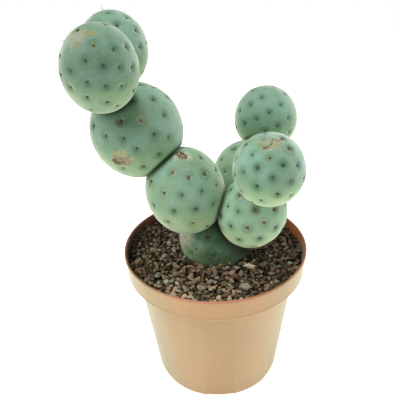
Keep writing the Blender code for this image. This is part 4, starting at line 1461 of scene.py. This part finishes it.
def drop_stones(rng, settings):
    """Drops stones one by one, each into the lowest of a few spots tried: (middles, radii)."""
    outer = inside_radius(SOIL_LEVEL)
    middles, sizes = np.empty((0, 3)), np.empty(0)
    for _ in range(settings.stones):
        radius = settings.smallest + (settings.largest - settings.smallest) * rng.random() ** STONE_FINES
        turn = rng.uniform(0, 2 * math.pi, STONE_TRIES)
        out = outer * np.sqrt(rng.uniform(0, 1, STONE_TRIES))
        spots = np.stack((out * np.cos(turn), out * np.sin(turn)), axis=1)
        height = resting_heights(spots, radius, middles, sizes)
        allowed = heaped(spots, out, outer)
        clearance = STONE_CLEARANCE * radius
        blocked = np.linalg.norm(spots - BASE_MIDDLE[:2], axis=1) < base_girth(height, clearance)
        blocked |= out > inside_radius(height) - clearance
        blocked |= height + STONE_PACKING * radius > STONE_TOP + allowed
        if not blocked.all():
            best = np.argmin(np.where(blocked, np.inf, height - allowed))
            middles = np.vstack((middles, (*spots[best], height[best])))
            sizes = np.append(sizes, radius)
    return middles, sizes


def seen_stones(middles, sizes, settings):
    """(middle, radius, colour) of each stone that the photograph shows on top, resting on the others."""
    found = []
    for pixel, radius, kind, tone in SEEN_STONES:
        start, way = sight_line(pixel)
        height = STONE_TOP
        for _ in range(SEEN_STONE_ROUNDS):
            spot = (start + way * (height - start[2]) / way[2])[:2]
            height = resting_heights(spot[None], radius, middles, sizes)[0] - SEEN_STONE_SUNK * radius
        found.append((np.array((*spot, height)), radius, tone * np.array(getattr(settings, kind))))
    return found


def stone_shape(rng, settings):
    """One angular stone of radius 1: the hull of points shaken off a squashed ball."""
    bm = bmesh.new()
    squash = Vector((1, rng.uniform(*STONE_WIDTH), rng.uniform(*STONE_HEIGHT)))
    for direction in spiral(settings.points):
        shaken = Vector(direction + rng.normal(0, STONE_SHAKEN, 3)).normalized()
        bm.verts.new(shaken * rng.uniform(*STONE_CORNERS) * squash * STONE_GROWN)
    hull = bmesh.ops.convex_hull(bm, input=bm.verts)
    spare = set(hull["geom_interior"] + hull["geom_unused"])
    inner = [item for item in spare if isinstance(item, bmesh.types.BMVert)]
    bmesh.ops.delete(bm, geom=inner, context="VERTS")
    bmesh.ops.recalc_face_normals(bm, faces=bm.faces)
    mesh = as_mesh("stone shape", bm)
    store(mesh, tint=np.ones((len(mesh.vertices), 4)))
    return mesh


def painted_stone_shade(middle, radius):
    """Painted light and shade: what a stone's colour is multiplied by for how far back, how deep and how
    near the wall it lies.
    """
    backward = ACROSS_SHARE * middle[0] + middle[1]
    depth = STONE_TOP - middle[2] - STONE_PACKING * radius
    from_wall = inside_radius(middle[2]) - math.hypot(middle[0], middle[1])
    tone = np.interp(backward, BACKWARD_LINES, BACKWARD_TONES)
    tone *= np.interp(depth, SHADED_DEPTHS, SHADED_TONES)
    return tone * np.interp(from_wall, WALL_SHADE_REACH, WALL_SHADE)


def build_stones(settings):
    """The loose stones, each with a colour of its own that also carries painted light and shade."""
    rng = np.random.default_rng(settings.seed)
    shapes = [stone_shape(rng, settings) for _ in range(settings.shapes)]
    tints = [settings.dark, settings.brown, settings.grey, settings.red, settings.pumice]
    bm = bmesh.new()
    middles, sizes = drop_stones(rng, settings)
    stones = seen_stones(middles, sizes, settings)
    for middle, radius in zip(middles, sizes):
        tint = np.array(tints[rng.choice(len(tints), p=STONE_SHARES)]) * rng.uniform(*STONE_TONES)
        # Painted light and shade for where the stone lies
        stones.append((middle, radius, np.minimum(tint * painted_stone_shade(middle, radius), PALEST_STONE)))
    for middle, radius, tint in stones:
        turn = Matrix.Rotation(rng.uniform(0, 2 * math.pi), 4, "Z")
        tilt = Matrix.Rotation(rng.normal(0, STONE_TILT), 4, Vector(rng.normal(0, 1, 3)).normalized())
        matrix = Matrix.Translation(middle) @ tilt @ turn @ Matrix.Scale(radius * STONE_SPREAD, 4)
        add_copy(bm, shapes[rng.integers(len(shapes))], matrix, tint)
    for shape in shapes:
        bpy.data.meshes.remove(shape)
    finish = grit_finish("lava and pumice", True, settings)
    mesh = as_mesh("grit_stones", bm)
    piece = add_piece("grit_stones", mesh, [finish], sharp_angle=STONE_SHARP_ANGLE)
    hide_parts("grit")


# Roots


def dress_roots():
    """The roots keep their own solid and get a bark."""
    roots = frame["nodes"]["roots"]
    roots.data.materials.clear()
    roots.data.materials.append(bark_finish())


# Stem segments


def scars_on(segment):
    """(world point, scar) of each scar on a segment."""
    scars = [Scar(*scar) for scar in SCARS.get(segment.name, ())]
    return [(points_at(segment, [scar.pixel])[0], scar) for scar in scars]


def distance_to_path(points, path):
    """Distance of each point to a path of straight runs."""
    nearest = np.full(len(points), np.inf)
    for start, end in zip(path, path[1:]):
        run = end - start
        along = np.clip((points - start) @ run / (run @ run), 0, 1)
        nearest = np.minimum(nearest, np.linalg.norm(points - start - along[:, None] * run, axis=1))
    return nearest


def ringed_areoles(segment, areoles, rng):
    """1 for each areole with a corky ring, else 0: the ones seen, and a few on the older segments."""
    by_chance = (rng.random(len(areoles)) < RINGED_SHARE) & (segment.age >= RINGED_FROM_AGE)
    seen = [pixel for pixel in SEEN_AREOLES[segment.name] if pixel in RINGED_AREOLES]
    if seen:
        by_chance |= (areoles @ directions_at(segment, seen).T).max(axis=1) > RINGED_MATCH
    return by_chance.astype(float)


def start_ball(segment, areoles, detail):
    """A unit ball of small faces, finer round each areole and scar, as a bmesh in world directions."""
    bm = bmesh.new()
    bmesh.ops.create_icosphere(bm, subdivisions=detail, radius=1)
    verts = list(bm.verts)
    directions = np.array([vert.co for vert in verts])
    girth = segment.girth * MM
    near = (directions @ areoles.T).max(axis=1) > math.cos(FINE_ROUND_PIT * PIT_RADIUS / girth)
    for place, scar in scars_on(segment):
        way = (place - middle_of(segment)) / np.linalg.norm(place - middle_of(segment))
        near |= directions @ way > math.cos(FINE_ROUND_SCAR * scar.radius * MM / girth)
    fine = {vert for vert, is_near in zip(verts, near) if is_near}
    edges = [edge for edge in bm.edges if edge.verts[0] in fine and edge.verts[1] in fine]
    bmesh.ops.subdivide_edges(bm, edges=edges, cuts=1, use_grid_fill=True)
    bmesh.ops.triangulate(bm, faces=[face for face in bm.faces if len(face.verts) > 3])
    return bm


def swells(directions, rng):
    """Low swells of the skin, from -1 to 1."""
    total = np.zeros(len(directions))
    for _ in range(SWELL_WAVES):
        wave = rng.normal(0, SWELL_CLOSENESS, 3)
        total += np.sin(directions @ wave + rng.uniform(0, 2 * math.pi))
    return total / SWELL_WAVES


def crevices(segment, points):
    """Where to paint shade: 1 where points of a segment's skin lie against another segment or the grit, 0
    out in the open.
    """
    closest = np.zeros(len(points))
    reach = CREVICE_REACH if segment.parent else LOWEST_CREVICE_REACH
    for other in SEGMENTS:
        if other.name != segment.name:
            away = points - middle_of(other)
            apart = np.linalg.norm(away, axis=1)
            gap = apart - reach_along(other, away / apart[:, None])
            closest = np.maximum(closest, 1 - smoothstep(gap, 0, reach))
    return np.maximum(closest, 1 - smoothstep(points[:, 2] - SOIL_LEVEL, 0, GRIT_SHADE_REACH))


def creases_at(segment, points):
    """(depth, creased) at each point of a skin: how far creases sink it, and how deep in one it is."""
    depth, creased = np.zeros((2, len(points)))
    for crease in CREASES:
        if crease.segment == segment.name:
            apart = distance_to_path(points, points_at(segment, crease.pixels))
            groove = np.exp(-((apart / crease.width) ** 2))
            depth += crease.depth * groove
            creased = np.maximum(creased, groove)
    return depth, creased


def scars_at(segment, points):
    """(relief, nearness, cover, tint) at each point of a skin, from the scars that are on it.

    Relief is how far the skin stands up, and nearness the distance to the nearest scar over its radius.
    """
    relief, cover = np.zeros((2, len(points)))
    nearness = np.full(len(points), OFF_SCARS)
    tint = np.tile((*TAN, 1.0), (len(points), 1))
    for place, scar in scars_on(segment):
        away = np.linalg.norm(points - place, axis=1) / (scar.radius * MM)
        edge = np.exp(-(((away - SCAR_EDGE) / SCAR_EDGE_WIDTH) ** 2))
        hollow = SCAR_HOLLOW * (1 - smoothstep(away, *SCAR_HOLLOW_SLOPE))
        relief += scar.relief * MM * (edge - hollow)
        nearer = away < np.minimum(nearness, SCAR_REACH)
        tint[nearer] = (*scar.colour, 1.0)
        cover[nearer] = scar.cover
        nearness = np.minimum(nearness, away)
    return relief, nearness, cover, tint


def seated(segment, directions, distance):
    """The skin's distance from the segment's middle, flattened where it presses on a neighbour."""
    for name in segment.pressed_on:
        flat = distance_to(middle_of(segment), directions, BY_NAME[name], SEAT_GAP)
        flat = np.where(np.isfinite(flat), flat, distance + SEAT_ROUNDING)
        blend = np.clip(0.5 + 0.5 * (flat - distance) / SEAT_ROUNDING, 0, 1)
        distance = flat + (distance - flat) * blend - SEAT_ROUNDING * blend * (1 - blend)
    return distance


def build_skin(segment, finish, settings, rng):
    """One segment's skin: pits at its areoles, flats where it presses on a neighbour, and its scars."""
    areoles = open_areoles(segment)
    mesh = as_mesh(segment.name + "_skin", start_ball(segment, areoles, settings.detail))
    directions = points_of(mesh)
    directions /= np.linalg.norm(directions, axis=1)[:, None]
    closeness = directions @ areoles.T
    nearest = closeness.argmax(axis=1)
    smooth = reach_along(segment, directions)
    from_areole = np.arccos(np.clip(closeness.max(axis=1), -1, 1)) * smooth
    depth = PIT_DEPTH * rng.uniform(*PIT_DEPTHS, len(areoles))[nearest]
    distance = smooth - depth * smoothstep(from_areole, PIT_SLOPE_END, NUB_RADIUS)
    distance += settings.swell * swells(directions, rng)
    points = middle_of(segment) + directions * distance[:, None]
    crease_depth, creased = creases_at(segment, points)
    relief, scar_share, scar_cover, scar_tint = scars_at(segment, points)
    distance = seated(segment, directions, distance - crease_depth + relief)
    points = middle_of(segment) + directions * distance[:, None]
    set_points(mesh, points)
    everywhere = np.ones(len(points))
    lowest = everywhere * (segment.parent is None)
    # The lowest segment's left side gets painted light, and its left outline chalky wear with painted sheen
    pale = directions @ PAINTED_LIGHT_SIDE
    store(
        mesh,
        # Painted shade where the skin lies against another segment or the grit
        crevice=crevices(segment, points),
        from_areole=from_areole / MM,
        areole_tone=rng.random(len(areoles))[nearest],
        areole_ring=ringed_areoles(segment, areoles, rng)[nearest],
        age=everywhere * segment.age,
        upward=directions[:, 2],
        # Wax: partly a paler bloom and partly painted light, with more painted light on the lowest
        # segment's left side
        wax=segment.wax + lowest * PAINTED_LIGHT_WAX * smoothstep(pale, *PAINTED_LIGHT_EDGE),
        # Painted shadow on the lowest segment's right side
        soiled=lowest * smoothstep(directions @ PAINTED_SHADE_SIDE, *PAINTED_SHADE_EDGE),
        lowest=lowest,
        # Chalky wear and painted sheen at the lowest segment's left outline
        weathered=lowest * smoothstep(pale, *CHALK_AND_SHEEN_EDGE),
        creased=creased,
        scar_share=scar_share,
        scar_cover=scar_cover,
        scar_tint=scar_tint,
    )
    piece = add_piece(segment.name + "_skin", mesh, [finish])
    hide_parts(segment.name)


# Areoles


def tuft_shape(rng, settings):
    """One areole upright on +Z: a wool cushion, and short bristles fanning out of it."""
    bm = bmesh.new()
    bmesh.ops.create_icosphere(bm, subdivisions=WOOL_DETAIL, radius=1)
    for vert in bm.verts:
        vert.co *= rng.uniform(*WOOL_SHAKEN)
        vert.co.x *= settings.radius * WOOL_OVAL
        vert.co.y *= settings.radius
        vert.co.z *= settings.height
    for _ in range(settings.bristles):
        tilt = Matrix.Rotation(rng.uniform(*BRISTLE_TILT), 4, "X")
        turn = Matrix.Rotation(rng.uniform(0, 2 * math.pi), 4, "Z")
        length = settings.bristle_length * rng.uniform(*BRISTLE_SHARES)
        place = turn @ Matrix.Translation((0, -BRISTLE_OFF_MIDDLE * settings.radius, 0)) @ tilt
        place = place @ Matrix.Translation((0, 0, length / 2))
        made = bmesh.ops.create_cone(
            bm, cap_ends=True, cap_tris=True, segments=BRISTLE_SIDES, radius1=BRISTLE_RADII[0],
            radius2=BRISTLE_RADII[1], depth=length, matrix=place,
        )
        for face in {face for vert in made["verts"] for face in vert.link_faces}:
            face.material_index = 1
    bmesh.ops.recalc_face_normals(bm, faces=bm.faces)
    mesh = as_mesh("tuft shape", bm)
    store(mesh, tint=np.ones((len(mesh.vertices), 4)))
    return mesh


def build_areoles(segment, tufts, finishes, settings, rng):
    """Every open areole of a segment, set in its pit."""
    bm = bmesh.new()
    growth = Vector(growth_of(segment))
    for outward in open_areoles(segment):
        place = middle_of(segment) + outward * (reach_along(segment, outward) - PIT_DEPTH)
        normal = Vector(outward)
        across = growth.cross(normal).normalized()
        lie = Matrix((across, normal.cross(across), normal)).transposed().to_4x4()
        turn = Matrix.Rotation(rng.uniform(*TUFT_TURN), 4, "Z")
        matrix = Matrix.Translation(place) @ lie @ turn @ Matrix.Scale(rng.uniform(*TUFT_SIZES), 4)
        blend = max(0.0, rng.uniform(*PALE_WOOL_SHARE))
        tint = Vector(settings.wool).lerp(Vector(settings.pale_wool), blend)
        add_copy(bm, tufts[rng.integers(len(tufts))], matrix, tint)
    add_piece(segment.name + "_areoles", as_mesh(segment.name + "_areoles", bm), finishes)


# Spines


def spine_shape(length, settings, bend_turn):
    """One spine upright on +Z, tapered in rows and bowed to one side."""
    bm = bmesh.new()
    bmesh.ops.create_cone(
        bm, cap_ends=True, cap_tris=True, segments=settings.sides, radius1=settings.root_radius,
        radius2=SPINE_TIP_SHARE * settings.root_radius, depth=length,
        matrix=Matrix.Translation((0, 0, length / 2)),
    )
    uprights = [edge for edge in bm.edges if abs(edge.verts[0].co.z - edge.verts[1].co.z) > length / 2]
    bmesh.ops.subdivide_edges(bm, edges=uprights, cuts=settings.rows - 1, use_grid_fill=True)
    for vert in bm.verts:
        part = vert.co.z / length
        bow = settings.bend * 4 * part * (1 - part)
        vert.co.x += bow * math.cos(bend_turn)
        vert.co.y += bow * math.sin(bend_turn)
    heights = [vert.co.z / length for vert in bm.verts]
    mesh = as_mesh("spine shape", bm)
    store(mesh, along=heights)
    return mesh


def build_spines(segment, places, finish, settings, rng):
    bm = bmesh.new()
    for root, way, length in places:
        shape = spine_shape(length + SPINE_SUNK, settings, rng.uniform(0, 2 * math.pi))
        lie = Vector(way).to_track_quat("Z", "Y").to_matrix().to_4x4()
        add_copy(bm, shape, Matrix.Translation(root - way * SPINE_SUNK) @ lie)
        bpy.data.meshes.remove(shape)
    add_piece(segment.name + "_spines", as_mesh(segment.name + "_spines", bm), [finish])


# Stage


def add_light(name, place, power):
    """A round, soft light that points at the stem."""
    light = bpy.data.lights.new(name, "AREA")
    light.shape = "DISK"
    light.size = LIGHT_SIZE
    light.energy = power
    lamp = bpy.data.objects.new(name, light)
    lamp.location = place
    lamp.rotation_euler = (CAMERA_AIM - Vector(place)).to_track_quat("-Z", "Y").to_euler()
    bpy.context.scene.collection.objects.link(lamp)


def build_floor(settings):
    bm = bmesh.new()
    bmesh.ops.create_circle(bm, cap_ends=True, segments=FLOOR_STEPS, radius=settings.floor_radius)
    bmesh.ops.translate(bm, verts=bm.verts, vec=(0, 0, -FLOOR_BELOW))
    mesh = as_mesh("floor", bm)
    mesh.materials.append(floor_finish(settings))
    floor = bpy.data.objects.new("floor", mesh)
    bpy.context.scene.collection.objects.link(floor)


def build_camera():
    place, right, up, forward = camera_frame()
    lens = bpy.data.cameras.new("camera")
    lens.lens = LENS
    lens.sensor_width = SENSOR
    lens.clip_start = CLIP_START
    camera = bpy.data.objects.new("camera", lens)
    camera.matrix_world = Matrix.Translation(place) @ Matrix((right, up, -forward)).transposed().to_4x4()
    bpy.context.scene.collection.objects.link(camera)
    bpy.context.scene.camera = camera


def build_surroundings(settings):
    """A little even light, in front of a white ground that only the camera sees."""
    world = bpy.data.worlds.new("light tent")
    world.use_nodes = True
    tree = world.node_tree
    seen = Wire(tree, tree.nodes.new("ShaderNodeLightPath").outputs["Is Camera Ray"])
    strength = settings.haze + seen * (1.0 - settings.haze)
    background = tree.nodes["Background"]
    tree.links.new(strength.socket, background.inputs["Strength"])
    background.inputs["Color"].default_value = (1, 1, 1, 1)
    bpy.context.scene.world = world
    bpy.context.scene.view_settings.view_transform = "Standard"


# Operators


class TEPHROCACTUS_OT_stage(Operator):
    """Make the pale floor, the soft lights and the camera"""

    bl_idname = "tephrocactus.stage"
    bl_label = "Make Stage"

    def execute(self, context):
        settings = context.scene.tephrocactus_stage
        build_floor(settings)
        build_surroundings(settings)
        for name, place in LIGHTS.items():
            add_light(name + "_light", place, getattr(settings, name))
        build_camera()
        return {"FINISHED"}


class TEPHROCACTUS_OT_pot(Operator):
    """Turn the nursery pot and cut its channels and drain holes"""

    bl_idname = "tephrocactus.pot"
    bl_label = "Make Pot"

    def execute(self, context):
        build_pot(context.scene.tephrocactus_pot)
        return {"FINISHED"}


class TEPHROCACTUS_OT_grit(Operator):
    """Fill the pot with the bed of grit and drop the loose stones on it"""

    bl_idname = "tephrocactus.grit"
    bl_label = "Make Grit"

    def execute(self, context):
        build_bed(context.scene.tephrocactus_grit)
        build_stones(context.scene.tephrocactus_grit)
        return {"FINISHED"}


class TEPHROCACTUS_OT_roots(Operator):
    """Give the roots their bark"""

    bl_idname = "tephrocactus.roots"
    bl_label = "Dress Roots"

    def execute(self, context):
        dress_roots()
        return {"FINISHED"}


class TEPHROCACTUS_OT_skins(Operator):
    """Make the waxy skin of every stem segment"""

    bl_idname = "tephrocactus.skins"
    bl_label = "Make Segments"

    def execute(self, context):
        settings = context.scene.tephrocactus_skin
        finish = skin_finish("glaucous skin", settings.sheen, settings)
        lowest_finish = skin_finish("worn skin", settings.lowest_sheen, settings)
        for index, segment in enumerate(SEGMENTS):
            worn = segment.parent is None
            build_skin(segment, lowest_finish if worn else finish, settings, np.random.default_rng(index))
        return {"FINISHED"}


class TEPHROCACTUS_OT_areoles(Operator):
    """Set the woolly areoles in the pits of every segment"""

    bl_idname = "tephrocactus.areoles"
    bl_label = "Make Areoles"

    def execute(self, context):
        settings = context.scene.tephrocactus_areole
        finishes = [wool_finish(), bristle_finish(settings)]
        rng = np.random.default_rng(settings.variants)
        tufts = [tuft_shape(rng, settings) for _ in range(settings.variants)]
        for segment in SEGMENTS:
            build_areoles(segment, tufts, finishes, settings, rng)
        for tuft in tufts:
            bpy.data.meshes.remove(tuft)
        return {"FINISHED"}


class TEPHROCACTUS_OT_spines(Operator):
    """Grow the thin spines round the tips"""

    bl_idname = "tephrocactus.spines"
    bl_label = "Make Spines"

    def execute(self, context):
        settings = context.scene.tephrocactus_spine
        finish = spine_finish(settings)
        place_rng = random.Random(SPINE_SEED)
        bend_rng = random.Random(SPINE_SEED)
        for segment in SEGMENTS:
            places = spine_places(segment, place_rng) + seen_spines(segment)
            if places:
                build_spines(segment, places, finish, settings, bend_rng)
        return {"FINISHED"}


OPERATORS = (
    TEPHROCACTUS_OT_stage,
    TEPHROCACTUS_OT_pot,
    TEPHROCACTUS_OT_grit,
    TEPHROCACTUS_OT_roots,
    TEPHROCACTUS_OT_skins,
    TEPHROCACTUS_OT_areoles,
    TEPHROCACTUS_OT_spines,
)
SETTINGS = {
    "tephrocactus_stage": StageSettings,
    "tephrocactus_pot": PotSettings,
    "tephrocactus_grit": GritSettings,
    "tephrocactus_skin": SkinSettings,
    "tephrocactus_areole": AreoleSettings,
    "tephrocactus_spine": SpineSettings,
}


class TEPHROCACTUS_PT_panel(Panel):
    """Lists the pieces of the potted tephrocactus with their settings"""

    bl_label = "Potted Tephrocactus"
    bl_idname = "TEPHROCACTUS_PT_panel"
    bl_space_type = "VIEW_3D"
    bl_region_type = "UI"
    bl_category = "Tephrocactus"

    def draw(self, context):
        for operator in OPERATORS:
            self.layout.operator(operator.bl_idname)
        for name, group in SETTINGS.items():
            box = self.layout.box()
            box.label(text=group.__doc__)
            for setting in group.__annotations__:
                box.prop(getattr(context.scene, name), setting)


def register():
    for group in SETTINGS.values():
        bpy.utils.register_class(group)
    for name, group in SETTINGS.items():
        setattr(bpy.types.Scene, name, PointerProperty(type=group))
    for operator in OPERATORS:
        bpy.utils.register_class(operator)
    bpy.utils.register_class(TEPHROCACTUS_PT_panel)


def unregister():
    bpy.utils.unregister_class(TEPHROCACTUS_PT_panel)
    for operator in reversed(OPERATORS):
        bpy.utils.unregister_class(operator)
    for name, group in SETTINGS.items():
        delattr(bpy.types.Scene, name)
        bpy.utils.unregister_class(group)


def main():
    register()
    bpy.ops.tephrocactus.stage()
    bpy.ops.tephrocactus.pot()
    bpy.ops.tephrocactus.grit()
    bpy.ops.tephrocactus.roots()
    bpy.ops.tephrocactus.skins()
    bpy.ops.tephrocactus.areoles()
    bpy.ops.tephrocactus.spines()


if __name__ == "__main__":
    main()
